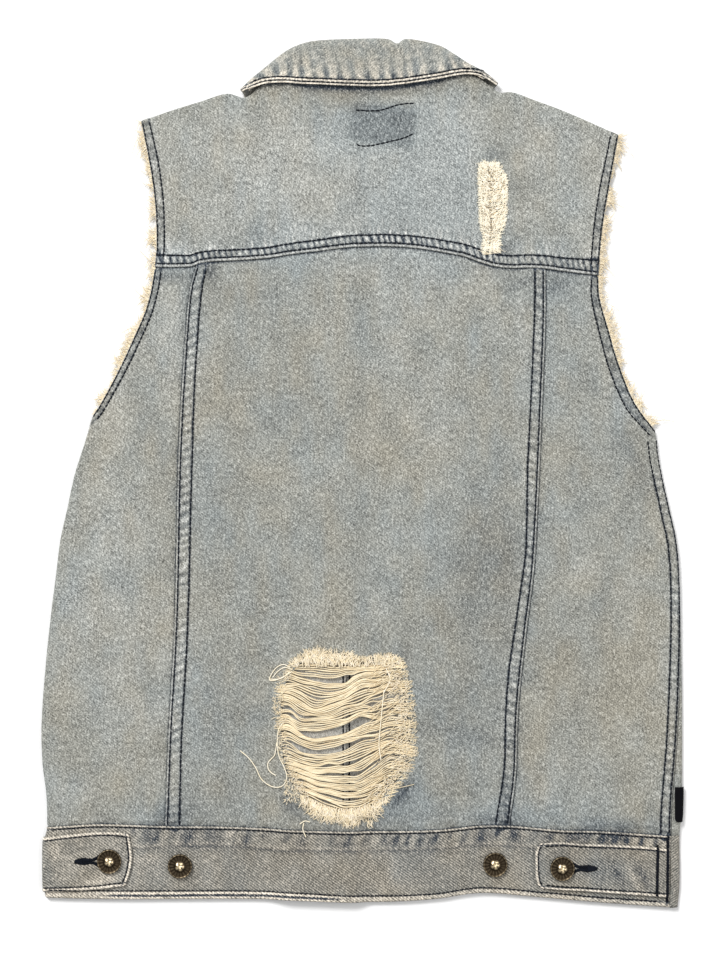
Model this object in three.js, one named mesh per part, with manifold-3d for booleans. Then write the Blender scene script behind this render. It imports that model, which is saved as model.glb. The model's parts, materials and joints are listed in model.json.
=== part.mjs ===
// A denim vest laid flat with its back up: fronts on the floor, back panels over them,
// collar turned down over the yoke. Millimetres, +Z up, +Y towards the collar,
// origin at the middle of the vest's bounding box, on the floor.
import * as THREE from 'three';
import { mergeVertices } from 'three/addons/utils/BufferGeometryUtils.js';
import Module from 'manifold-3d';

const wasm = await Module();
wasm.setup();

// Driving sizes, mm
const VEST_LENGTH = 626.4; // collar roll to the lowest point of the hem
const CLOTH = 1.3; // one layer of heavy denim
const COLLAR_CLOTH = 1.8; // two plies sewn together
const LAYER_GAP = 1.6; // air between the back and the fronts at the side folds
const LAP_GAP = 0.6; // between the two fronts where they lap
const SEAM_GAP = 0.3;
const FRAY_GAP = 1.1; // between a raw edge and the strip that holds its fringe
const FRONT_FRAY_GAP = 1.4;
const SEAM_RIDGE = 0.8; // how far a felled seam stands up
const SEAM_RIDGE_WIDTH = 6;
const SIDE_FLANGE = 6; // back cloth that passes the left fold and lies underneath
const TAB_CLEARANCE = 0.9; // between the waistband and a tab
const COLLAR_ROLL = 3.8; // outer radius of the collar's roll at the centre back
const COLLAR_ROLL_NECK = 4.2; // the same beside the neck points
const BUTTON_RADIUS = 8.8;
const BUTTON_HEIGHT = 4;
const FRONT_BUTTON_HEIGHT = 2.1;
const FRONT_LIFT = 2.4; // how far the front buttons hold the fronts off the floor
const LEAF_LIFT = 2.1; // the same for the collar's front leaves
const LAP_LEFT = -50; // edge of the right front, seen from above
const LAP_RIGHT = -12; // edge of the left front
const LAP_TOP = 228; // the fronts lap below this height
const LABEL_CLOTH = 0.8;

// The photo's frame: a length there, and the pixel that is the origin
const VEST_LENGTH_PX = 870;
const ORIGIN_PX = { x: 362.7, y: 473.1 };
const MM_PER_PX = VEST_LENGTH / VEST_LENGTH_PX;
const FOLDS_BEGIN_PY = 395; // the armholes end here and the side folds begin

const FOLD_RADIUS = CLOTH + LAYER_GAP / 2; // outer radius of a side or shoulder fold
const BACK_BASE = CLOTH + LAYER_GAP; // underside of the back above the fronts' outer face

const toX = (px) => (px - ORIGIN_PX.x) * MM_PER_PX;
const toY = (py) => (ORIGIN_PX.y - py) * MM_PER_PX;
const point = ([px, py]) => new THREE.Vector3(toX(px), toY(py), 0);

// Curve tables: each row is a place in the photo, [px, py]
const SHOULDER_LEFT = [[140.9, 120.7], [168, 111], [200, 101], [228, 93], [237, 95]];
const SHOULDER_RIGHT = [[501, 92], [510, 91.4], [536, 100], [568, 112], [618.7, 134.4]];
const BACK_NECK = [
  [237, 95], [243, 97], [251, 93.5], [258, 87], [270, 79.5], [290, 73], [320, 71], [370, 71], [430, 73],
  [455, 74], [470, 74], [483, 80], [493, 88], [501, 92],
];
const ARMHOLE_LEFT_YOKE = [
  [140.9, 120.7], [147.2, 151.7], [153, 186], [155.8, 215], [156.4, 249], [154.8, 265.4],
];
const ARMHOLE_RIGHT_YOKE = [[618.7, 134.4], [608.4, 191.8], [602.7, 226.3], [599.2, 263], [598.5, 273.7]];
const ARMHOLE_LEFT_SIDE = [
  [154.8, 265.4], [150.8, 291], [145, 311.7], [133.6, 338], [122, 363.3], [108.4, 389.7], [96, 411],
  [86, 423], [77, 432],
];
const ARMHOLE_RIGHT_SIDE = [
  [598.5, 273.7], [599.2, 295], [608.4, 329.6], [618.7, 364], [634.8, 403], [657.8, 434],
];
const YOKE_EDGE = [
  [154.8, 265.4], [196.3, 260.8], [252.7, 254.8], [305.7, 250.5], [352, 245.5], [385.3, 244.5],
  [418.5, 246.5], [451.7, 252.2], [484.8, 261.5], [511, 265.4], [545.7, 267], [598.5, 273.7],
];
const PRINCESS_LEFT = [
  [196.3, 260.8], [190, 288.5], [184.8, 342], [178.4, 454.6], [174.2, 628.8], [168.3, 735], [165, 826],
];
const PRINCESS_RIGHT = [
  [545.7, 267], [545.7, 319], [541.2, 427.7], [538.2, 504], [533.8, 574], [526.5, 632], [518.5, 710],
  [515.9, 777], [509.5, 825.6],
];
const WAIST_SEAM = [
  [46, 827.7], [96, 824.2], [165, 826], [226.6, 826.7], [299.3, 829.6], [370, 831], [440, 829.7],
  [480.8, 825.6], [509.5, 825.6], [562.4, 830.2], [597.4, 831], [654.8, 834.8], [671, 836],
];
const BACK_HEM = [
  [45.5, 897.5], [98, 899], [264, 899], [360, 902], [408, 901], [440, 898.5], [480, 893], [536, 897],
  [600, 902.5], [669.5, 907.5],
];
const FRONT_HEM = [
  [45.5, 896.5], [150, 897.5], [300, 899], [380, 899], [480, 891], [560, 897], [620, 903], [678, 908],
];
const FRONT_NECK_LEFT = [[237, 95], [252, 122], [290, 160], [345.3, 188]];
const FRONT_NECK_RIGHT = [[292.6, 160], [345, 184], [420, 176], [486, 124], [501, 92]];
const FRONT_ARMHOLE_LEFT = [
  [140.9, 120.7], [160, 160], [171, 215], [171, 265], [163, 311], [146, 350], [122, 392], [101.5, 430],
];
const FRONT_ARMHOLE_RIGHT = [
  [618.7, 134.4], [596, 180], [586, 240], [584, 285], [592, 335], [604, 372], [622, 408], [658, 434],
];

// Side folds and the right side seam, as far as the flat cloth reaches: [py, px]
const FOLD_LEFT = [
  [400, 97.5], [444, 84], [476, 74], [508, 67], [540, 60], [572, 56], [620, 50], [668, 45], [724, 41],
  [764, 42], [796, 46], [828, 46.5], [842, 44], [888, 44], [898, 45.5],
];
const FOLD_RIGHT = [
  [400, 651], [434, 656], [460, 659], [484, 663], [508, 669], [540, 676], [572, 679], [668, 682],
  [764, 682.5], [812, 682], [836, 680], [884, 680], [908, 678],
];
const SEAM_RIGHT = [
  [434, 657.8], [460, 660.7], [508, 670.7], [540, 677.7], [572, 680.7], [620, 681.5], [668, 680.5],
  [740, 677.3], [800, 672.5], [836, 671], [908, 669.5],
];

// Collar columns, left to right: roll on the outline, edge of the fall, lower edge underneath
const COLLAR_ROWS = [
  { roll: [240, 89.5], edge: [243.5, 94], under: [243, 150] },
  { roll: [251, 79], edge: [256, 90], under: [262, 196] },
  { roll: [262, 70], edge: [267, 86], under: [285, 194] },
  { roll: [283, 53], edge: [285, 84], under: [327, 184] },
  { roll: [299, 44.6], edge: [300, 85], under: [306, 72] },
  { roll: [316, 40.6], edge: [320, 85.6], under: [330, 69] },
  { roll: [345, 39], edge: [348, 86.8], under: [350, 68.5] },
  { roll: [385, 38.6], edge: [385, 87], under: [385, 68.5] },
  { roll: [397, 43.4], edge: [397, 85.8], under: [397, 68.5] },
  { roll: [407.6, 38.8], edge: [408, 84.6], under: [406, 69] },
  { roll: [437, 44.6], edge: [436, 80.4], under: [432, 70] },
  { roll: [453, 53], edge: [455, 77], under: [414, 184] },
  { roll: [468, 62.8], edge: [469, 77.5], under: [455, 194] },
  { roll: [485, 72], edge: [482, 83], under: [478, 196] },
  { roll: [498.5, 83], edge: [494.5, 89.5], under: [496, 150] },
];

// Soft folds of the back: middle in the photo, turn from +X in degrees, sizes in mm
const FOLDS = [
  { px: 628, py: 470, turn: -62, length: 90, width: 13, height: 1.5 },
  { px: 604, py: 585, turn: -70, length: 60, width: 15, height: 1.3 },
  { px: 560, py: 640, turn: 80, length: 80, width: 20, height: 0.8 },
  { px: 525, py: 300, turn: 68, length: 34, width: 7, height: 1.1 },
  { px: 236, py: 470, turn: 84, length: 90, width: 18, height: 0.9 },
  { px: 120, py: 560, turn: 72, length: 80, width: 16, height: 1.2 },
  { px: 470, py: 560, turn: 62, length: 70, width: 16, height: 1.0 },
  { px: 330, py: 380, turn: 12, length: 90, width: 22, height: 0.8 },
];

// Open gaps between the thread bundles of the rip: middle, length and width in px, turn in degrees
const RIP_GAPS = [
  { px: 330, py: 678.5, length: 46, width: 9, turn: 1 },
  { px: 325, py: 733.5, length: 40, width: 9, turn: -8 },
  { px: 317, py: 747, length: 56, width: 12, turn: 2 },
  { px: 362, py: 721, length: 30, width: 10, turn: 17 },
  { px: 356, py: 744.5, length: 22, width: 10, turn: 14 },
  { px: 371, py: 702.5, length: 16, width: 7, turn: 4 },
  { px: 296, py: 723, length: 20, width: 7, turn: -30 },
  { px: 352, py: 765, length: 34, width: 6.5, turn: 10 },
  { px: 376, py: 756, length: 26, width: 6.5, turn: 30 },
  { px: 346, py: 703, length: 24, width: 6.5, turn: 6 },
];

const BACK_BUTTONS = [
  { name: 'button_tab_left', px: 109.8, py: 860.7, onTab: true },
  { name: 'button_spare_left', px: 180.1, py: 865.9, onTab: false },
  { name: 'button_spare_right', px: 495.1, py: 864.4, onTab: false },
  { name: 'button_tab_right', px: 561.9, py: 867.8, onTab: true },
];
const FRONT_BUTTON_X = -31;
const FRONT_BUTTON_TOP_Y = 182;
const FRONT_BUTTON_PITCH = 98;
const WAISTBAND_BUTTON_Y = -287;

const vest = new THREE.Group();

const COLOURS = {
  denim: 0x8f9aa0,
  denim_waistband: 0x8b9090,
  threads: 0xd9cdb0,
  brass: 0x5a4a36,
  label: 0x1b1b1d,
};

function addPiece(name, geometry, finish) {
  const metal = finish === 'brass';
  const material = new THREE.MeshStandardMaterial({
    color: COLOURS[finish],
    roughness: metal ? 0.4 : 0.9,
    metalness: metal ? 0.9 : 0,
  });
  const mesh = new THREE.Mesh(geometry, material);
  mesh.name = name;
  vest.add(mesh);
}

// Curves and heights

const smooth = (t) => {
  const c = Math.min(1, Math.max(0, t));
  return c * c * (3 - 2 * c);
};

// 1 between low and high, falling to 0 over the ramp outside them
const plateau = (value, low, high, ramp) =>
  smooth((value - low) / ramp + 1) * smooth((high - value) / ramp + 1);

// A curve through table rows, run from 0 to 1 by length
function curve(rows) {
  const path = new THREE.CatmullRomCurve3(rows.map(point), false, 'centripetal');
  return (t) => path.getPointAt(Math.min(1, Math.max(0, t)));
}

// Several curves end to end, which keeps the corners between them
function chain(...tables) {
  const path = new THREE.CurvePath();
  for (const rows of tables) {
    path.add(new THREE.CatmullRomCurve3(rows.map(point), false, 'centripetal'));
  }
  return (t) => path.getPointAt(Math.min(1, Math.max(0, t)));
}

// A smooth function through rows of [key, value], whose keys rise or fall steadily
function through(rows) {
  const keys = rows.map(([key]) => key);
  const values = rows.map(([, value]) => value);
  const way = Math.sign(keys[1] - keys[0]);
  const last = keys.length - 1;
  const slope = (i) => {
    const a = Math.max(0, i - 1);
    const b = Math.min(last, i + 1);
    return (values[b] - values[a]) / (keys[b] - keys[a]);
  };
  return (key) => {
    if (way * (key - keys[0]) < 0) return values[0] + (key - keys[0]) * slope(0);
    if (way * (key - keys[last]) > 0) return values[last] + (key - keys[last]) * slope(last);
    let i = 0;
    while (i < last - 1 && way * (key - keys[i + 1]) > 0) i += 1;
    const span = keys[i + 1] - keys[i];
    const t = (key - keys[i]) / span;
    const t2 = t * t;
    const t3 = t2 * t;
    return (2 * t3 - 3 * t2 + 1) * values[i] + (t3 - 2 * t2 + t) * span * slope(i)
      + (3 * t2 - 2 * t3) * values[i + 1] + (t3 - t2) * span * slope(i + 1);
  };
}

// x as a function of y, from a [py, px] table
const edgeAt = (rows) => through(rows.map(([py, px]) => [toY(py), toX(px)]));

const foldLeft = edgeAt(FOLD_LEFT);
const foldRight = edgeAt(FOLD_RIGHT);
const seamRight = edgeAt(SEAM_RIGHT);

// The curve x = f(y) between two photo heights
const between = (f, pyTop, pyBottom) => (t) => {
  const y = toY(pyTop + (pyBottom - pyTop) * t);
  return new THREE.Vector3(f(y), y, 0);
};

// Height of the fronts' outer face: collar leaves and front buttons lie under it
const LEAF_RAMP = 18;
const belowNeck = (y) => smooth((LAP_TOP + LEAF_RAMP - y) / LEAF_RAMP);
function lift(x, y) {
  const leaves = plateau(x, -98, -12, LEAF_RAMP) + plateau(x, 20, 108, LEAF_RAMP);
  const leafLift = LEAF_LIFT * Math.min(1, leaves) * smooth((y - 162) / LEAF_RAMP);
  const frontLift = FRONT_LIFT * plateau(x, LAP_LEFT - 2, LAP_RIGHT + 2, 14) * belowNeck(y);
  return Math.max(leafLift, frontLift);
}

// Height of the folds pressed into the back
function foldHeight(x, y) {
  let height = 0;
  for (const fold of FOLDS) {
    const a = THREE.MathUtils.degToRad(fold.turn);
    const dx = x - toX(fold.px);
    const dy = y - toY(fold.py);
    const along = (dx * Math.cos(a) + dy * Math.sin(a)) / fold.length;
    const across = (dy * Math.cos(a) - dx * Math.sin(a)) / fold.width;
    height += fold.height * Math.exp(-4 * along * along - across * across);
  }
  const edge = Math.min(x - foldLeft(y), foldRight(y) - x);
  return height * smooth((edge - 4) / 16);
}

const lapHeight = (x, y) => (CLOTH + LAP_GAP) * plateau(x, LAP_LEFT - 8, LAP_RIGHT + 6, 14) * belowNeck(y);

// A shoulder fold: its height over x, and the way out of the cloth there
function shoulder(rows) {
  const yAt = through(rows.map(([px, py]) => [toX(px), toY(py)]));
  const outAt = (x) => new THREE.Vector3(yAt(x - 2) - yAt(x + 2), 4, 0).normalize();
  return { yAt, outAt };
}
const SHOULDERS = [
  { side: -1, neckX: toX(237), ...shoulder(SHOULDER_LEFT) },
  { side: 1, neckX: toX(501), ...shoulder(SHOULDER_RIGHT) },
];

// A point of a wall that turns over a fold. reach is how far the unrolled point lies past the
// flat cloth; layer is 1 for the back, coming down, and -1 for the fronts, coming up.
function overFold(reach, depth, rise, layer) {
  const angle = Math.min(Math.PI, reach / FOLD_RADIUS);
  const radius = FOLD_RADIUS - depth + rise * Math.cos(angle / 2) ** 2;
  const past = Math.max(0, reach - Math.PI * FOLD_RADIUS);
  return { out: radius * Math.sin(angle) - past, up: layer * radius * Math.cos(angle) };
}

// The left front climbs over the right one where they lap
const lapClimb = (x) => (CLOTH + LAP_GAP) * smooth((x - LAP_LEFT + 16) / 12);

// Places an unrolled point of the garment. depth is measured in from the outer face, rise is a
// ridge on it, layer is 1 for the back and -1 for the fronts.
function place(x, y, depth, layer, { rise = 0, climb = () => 0 } = {}) {
  const floor = lift(x, y);
  for (const { side, neckX, yAt, outAt } of SHOULDERS) {
    const out = outAt(x);
    const reach = (y - yAt(x)) * out.y + FOLD_RADIUS;
    if (side * (x - neckX) > 0 && reach > 0) {
      const turn = overFold(reach, depth, rise, layer);
      const shift = turn.out - reach;
      return [x + out.x * shift, y + out.y * shift, floor + FOLD_RADIUS + turn.up];
    }
  }
  for (const [side, fold] of [[-1, foldLeft], [1, foldRight]]) {
    const flatEnd = fold(y) - side * FOLD_RADIUS;
    const reach = side * (x - flatEnd);
    if (reach > 0 && y < toY(FOLDS_BEGIN_PY)) {
      const turn = overFold(reach, depth, rise, layer);
      return [flatEnd + side * turn.out, y, floor + FOLD_RADIUS + turn.up];
    }
  }
  if (layer < 0) return [x, y, floor + climb(x) + depth];
  return [x, y, floor + BACK_BASE + CLOTH + lapHeight(x, y) + foldHeight(x, y) - depth + rise];
}

// Shells

// Closes an outer and an inner grid of points into one body with a rim
function closedShell(columns, rows, outer, inner) {
  const positions = [];
  for (const face of [outer, inner]) {
    for (let j = 0; j < rows; j += 1) {
      for (let i = 0; i < columns; i += 1) positions.push(...face(i, j));
    }
  }
  const layer = columns * rows;
  const id = (i, j, side) => side * layer + j * columns + i;
  const index = [];
  const quad = (a, b, c, d) => index.push(a, b, c, a, c, d);
  for (let j = 0; j < rows - 1; j += 1) {
    for (let i = 0; i < columns - 1; i += 1) {
      quad(id(i, j, 0), id(i, j + 1, 0), id(i + 1, j + 1, 0), id(i + 1, j, 0));
      quad(id(i, j, 1), id(i + 1, j, 1), id(i + 1, j + 1, 1), id(i, j + 1, 1));
    }
  }
  for (let i = 0; i < columns - 1; i += 1) {
    quad(id(i, 0, 0), id(i + 1, 0, 0), id(i + 1, 0, 1), id(i, 0, 1));
    quad(id(i + 1, rows - 1, 0), id(i, rows - 1, 0), id(i, rows - 1, 1), id(i + 1, rows - 1, 1));
  }
  for (let j = 0; j < rows - 1; j += 1) {
    quad(id(0, j + 1, 0), id(0, j, 0), id(0, j, 1), id(0, j + 1, 1));
    quad(id(columns - 1, j, 0), id(columns - 1, j + 1, 0), id(columns - 1, j + 1, 1), id(columns - 1, j, 1));
  }
  return facingOut(positions, index);
}

// Builds the geometry, turned right side out if its volume comes out negative
function facingOut(positions, index) {
  let volume = 0;
  const p = (k) => new THREE.Vector3().fromArray(positions, index[k] * 3);
  for (let k = 0; k < index.length; k += 3) volume += p(k).dot(p(k + 1).cross(p(k + 2)));
  if (volume < 0) {
    for (let k = 0; k < index.length; k += 3) [index[k], index[k + 1]] = [index[k + 1], index[k]];
  }
  const geometry = new THREE.BufferGeometry();
  geometry.setAttribute('position', new THREE.Float32BufferAttribute(positions, 3));
  geometry.setIndex(index);
  return geometry;
}

// A patch between four curves: top and bottom run left to right, left and right run down
function patch({ top, bottom, left, right }) {
  return (u, v) => {
    const p = new THREE.Vector3();
    p.addScaledVector(top(u), 1 - v).addScaledVector(bottom(u), v);
    p.addScaledVector(left(v), 1 - u).addScaledVector(right(v), u);
    p.addScaledVector(top(0), -(1 - u) * (1 - v)).addScaledVector(top(1), -u * (1 - v));
    p.addScaledVector(bottom(0), -(1 - u) * v).addScaledVector(bottom(1), -u * v);
    return p;
  };
}

// Even steps from 0 to 1, with extra ones close to either end
function steps(count, near = [], far = []) {
  const start = near.length ? near[near.length - 1] : 0;
  const end = far.length ? 1 - far[far.length - 1] : 1;
  const middle = [];
  for (let k = 0; k <= count; k += 1) middle.push(start + ((end - start) * k) / count);
  const head = near.length ? [0, ...near.slice(0, -1)] : [];
  const tail = far.length ? [...far.slice(0, -1).reverse().map((d) => 1 - d), 1] : [];
  return [...head, ...middle, ...tail];
}

// One panel: its outline is pulled in by half a seam gap, its wall goes through place().
// ridge names the sides whose felled seam stands up.
function panel({ outline, layer, us, vs, ridge = [], thickness = CLOTH, raise = 0, climb }) {
  const at = patch(outline);
  const middle = at(0.5, 0.5);
  const grid = vs.map((v) => us.map((u) => {
    const p = at(u, v);
    const inset = SEAM_GAP / 2;
    if (u === 0 || u === 1) p.x += Math.sign(middle.x - p.x) * inset;
    if (v === 0 || v === 1) p.y += (v === 0 ? -1 : 1) * inset;
    return p;
  }));
  const distances = (u, v) => {
    const p = at(u, v);
    return {
      left: p.distanceTo(at(0, v)),
      right: p.distanceTo(at(1, v)),
      top: p.distanceTo(at(u, 0)),
      bottom: p.distanceTo(at(u, 1)),
    };
  };
  const rise = (i, j) => {
    const d = distances(us[i], vs[j]);
    return ridge.some((name) => d[name] <= SEAM_RIDGE_WIDTH + 0.3) ? SEAM_RIDGE : 0;
  };
  const wall = (depth, riseAt) => (i, j) => {
    const { x, y } = grid[j][i];
    return place(x, y, depth, layer, { rise: riseAt(i, j), climb });
  };
  return closedShell(us.length, vs.length, wall(-raise, rise), wall(thickness - raise, () => 0));
}

// Back panels

const PANEL_ROWS = 18;
const FOLD_STEPS = [0.03, 0.065, 0.08, 0.095, 0.11, 0.125, 0.14, 0.155, 0.17, 0.2];

// A curve moved out of the cloth by what the shoulder fold takes up
const foldTake = FOLD_RADIUS * (Math.PI / 2 - 1) - SEAM_GAP / 2;
function shoulderLine(rows, { outAt }) {
  const line = curve(rows);
  return (t) => {
    const p = line(t);
    return p.addScaledVector(outAt(p.x), foldTake);
  };
}

// Curves run one after another by given shares of the whole
function inTurn(parts) {
  return (t) => {
    let from = 0;
    for (const { share, run } of parts) {
      if (t <= from + share + 1e-9) return run((t - from) / share);
      from += share;
    }
    return parts[parts.length - 1].run(1);
  };
}

function addYoke() {
  const outline = {
    top: inTurn([
      { share: 0.22, run: shoulderLine(SHOULDER_LEFT, SHOULDERS[0]) },
      { share: 0.54, run: curve(BACK_NECK) },
      { share: 0.24, run: shoulderLine(SHOULDER_RIGHT, SHOULDERS[1]) },
    ]),
    bottom: curve(YOKE_EDGE),
    left: curve(ARMHOLE_LEFT_YOKE),
    right: curve(ARMHOLE_RIGHT_YOKE),
  };
  const us = [];
  for (const [from, share, count] of [[0, 0.22, 7], [0.22, 0.54, 16], [0.76, 0.24, 7]]) {
    for (let k = 0; k < count; k += 1) us.push(from + (share * k) / count);
  }
  us.push(1);
  const vs = steps(7, [0.01, 0.02, 0.034], [0.05, 0.062]);
  addPiece('yoke_back', panel({ outline, layer: 1, us, vs, ridge: ['bottom'] }), 'denim');
}

// Part of a curve, from t0 to t1
const part = (run, t0, t1) => (t) => run(t0 + (t1 - t0) * t);

// Where along a curve its x passes the given one
function whereX(run, x) {
  let low = 0;
  let high = 1;
  for (let k = 0; k < 40; k += 1) {
    const middle = (low + high) / 2;
    if (run(middle).x < x) low = middle;
    else high = middle;
  }
  return low;
}

const yokeEdge = curve(YOKE_EDGE);
const waistSeam = curve(WAIST_SEAM);
const princessLeft = curve(PRINCESS_LEFT);
const princessRight = curve(PRINCESS_RIGHT);
const yokeCuts = [whereX(yokeEdge, princessLeft(0).x), whereX(yokeEdge, princessRight(0).x)];
const waistCuts = [whereX(waistSeam, princessLeft(1).x), whereX(waistSeam, princessRight(1).x)];

function addSides() {
  const leftFlange = between((y) => foldLeft(y) + FOLD_RADIUS * (1 - Math.PI) - SIDE_FLANGE, 432, 827.7);
  const left = inTurn([
    { share: 0.32, run: curve(ARMHOLE_LEFT_SIDE) },
    { share: 0.68, run: leftFlange },
  ]);
  const leftBottom = (t) => waistSeam(waistCuts[0] * t).lerp(left(1), 1 - smooth(t * 6));
  addPiece('side_back_left', panel({
    outline: { top: part(yokeEdge, 0, yokeCuts[0]), bottom: leftBottom, left, right: princessLeft },
    layer: 1,
    us: steps(5, FOLD_STEPS),
    vs: steps(PANEL_ROWS),
  }), 'denim');

  const right = inTurn([
    { share: 0.32, run: curve(ARMHOLE_RIGHT_SIDE) },
    { share: 0.68, run: between(seamRight, 434, 836) },
  ]);
  addPiece('side_back_right', panel({
    outline: {
      top: part(yokeEdge, yokeCuts[1], 1),
      bottom: part(waistSeam, waistCuts[1], 1),
      left: princessRight,
      right,
    },
    layer: 1,
    us: steps(5, [], [0.012, 0.025, 0.04, 0.055, 0.075, 0.1]),
    vs: steps(PANEL_ROWS),
    ridge: ['right'],
  }), 'denim');
}

// A lens that cuts one gap of the rip right through the cloth
function ripCutter({ px, py, length, width, turn }) {
  const half = (length * MM_PER_PX) / 2;
  const bulge = width * MM_PER_PX;
  const shape = new THREE.Shape();
  shape.moveTo(-half, 0);
  shape.quadraticCurveTo(0, bulge, half, 0);
  shape.quadraticCurveTo(0, -bulge, -half, 0);
  const geometry = new THREE.ExtrudeGeometry(shape, { depth: 30, bevelEnabled: false, curveSegments: 6 });
  geometry.rotateZ(THREE.MathUtils.degToRad(turn));
  geometry.translate(toX(px), toY(py), -10);
  return geometry;
}

function toManifold(geometry) {
  const bare = geometry.clone();
  bare.deleteAttribute('normal');
  bare.deleteAttribute('uv');
  const merged = mergeVertices(bare, 1e-4);
  return new wasm.Manifold(new wasm.Mesh({
    numProp: 3,
    vertProperties: new Float32Array(merged.attributes.position.array),
    triVerts: new Uint32Array(merged.index.array),
  }));
}

function fromManifold(solid) {
  const mesh = solid.getMesh();
  const geometry = new THREE.BufferGeometry();
  geometry.setAttribute('position', new THREE.BufferAttribute(mesh.vertProperties, 3));
  geometry.setIndex(new THREE.BufferAttribute(mesh.triVerts, 1));
  return geometry;
}

function addCentre() {
  let cloth = toManifold(panel({
    outline: {
      top: part(yokeEdge, ...yokeCuts),
      bottom: part(waistSeam, ...waistCuts),
      left: princessLeft,
      right: princessRight,
    },
    layer: 1,
    us: steps(14, [0.024, 0.03], [0.024, 0.03]),
    vs: steps(PANEL_ROWS),
    ridge: ['left', 'right'],
  }));
  for (const gap of RIP_GAPS) cloth = cloth.subtract(toManifold(ripCutter(gap)));
  addPiece('centre_back', fromManifold(cloth), 'denim');
}

// Waistband and its tabs

const WAIST_STEPS_LEFT = [0.008, 0.011, 0.0135, 0.016, 0.0185, 0.021, 0.0235];
const WAIST_STEPS_RIGHT = [0.005, 0.01];

function addWaistbandBack() {
  const unrolledLeft = (y) => foldLeft(y) + FOLD_RADIUS * (1 - Math.PI) - SIDE_FLANGE;
  const left = between(unrolledLeft, 827.7, 897.5);
  const right = between(seamRight, 836, 907.5);
  const reachOut = (run, end) => (t) => run(t).lerp(end, 1 - smooth(t * 20));
  addPiece('waistband_back', panel({
    outline: {
      top: reachOut(waistSeam, left(0)),
      bottom: reachOut(curve(BACK_HEM), left(1)),
      left,
      right,
    },
    layer: 1,
    us: steps(22, WAIST_STEPS_LEFT, WAIST_STEPS_RIGHT),
    vs: steps(3, [0.06, 0.09]),
    ridge: ['top'],
  }), 'denim_waistband');
}

// Tab outlines: [px along the top and bottom edge, py of the top edge, py of the bottom edge]
const TAB_RIGHT = [
  [534.4, 850.6, 879.4], [537, 845, 885], [541, 842.2, 887.6], [582.9, 843, 890.8], [616.6, 843, 894],
  [669, 847.4, 897.5],
];
const TAB_LEFT = [
  [41.4, 837.2, 891.6], [68, 834, 890.9], [96, 831.2, 889.3], [124.2, 832.3, 886], [130.5, 834.5, 881],
  [133.3, 846, 866],
];
const TAB_WRAP = 3.9; // how far the left tab passes the fold, unrolled

function addTab(name, rows, wrap) {
  const edge = (column) => rows.map((row) => point([row[0], row[column]]));
  const run = (points) => {
    const path = new THREE.CatmullRomCurve3(points, false, 'centripetal');
    return (t) => path.getPointAt(Math.min(1, Math.max(0, t)));
  };
  const top = edge(1);
  const bottom = edge(2);
  if (wrap) {
    for (const points of [top, bottom]) {
      points[0].x = toX(44) + FOLD_RADIUS - wrap;
    }
  }
  const side = (a, b) => (t) => a.clone().lerp(b, t);
  const last = rows.length - 1;
  const us = wrap ? steps(8, [0.025, 0.05, 0.075, 0.1, 0.125]) : steps(10);
  addPiece(name, panel({
    outline: {
      top: run(top),
      bottom: run(bottom),
      left: side(top[0], bottom[0]),
      right: side(top[last], bottom[last]),
    },
    layer: 1,
    us,
    vs: steps(4),
    thickness: CLOTH,
    raise: CLOTH + TAB_CLEARANCE,
  }), 'denim_waistband');
}

// Fronts, on the floor

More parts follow.
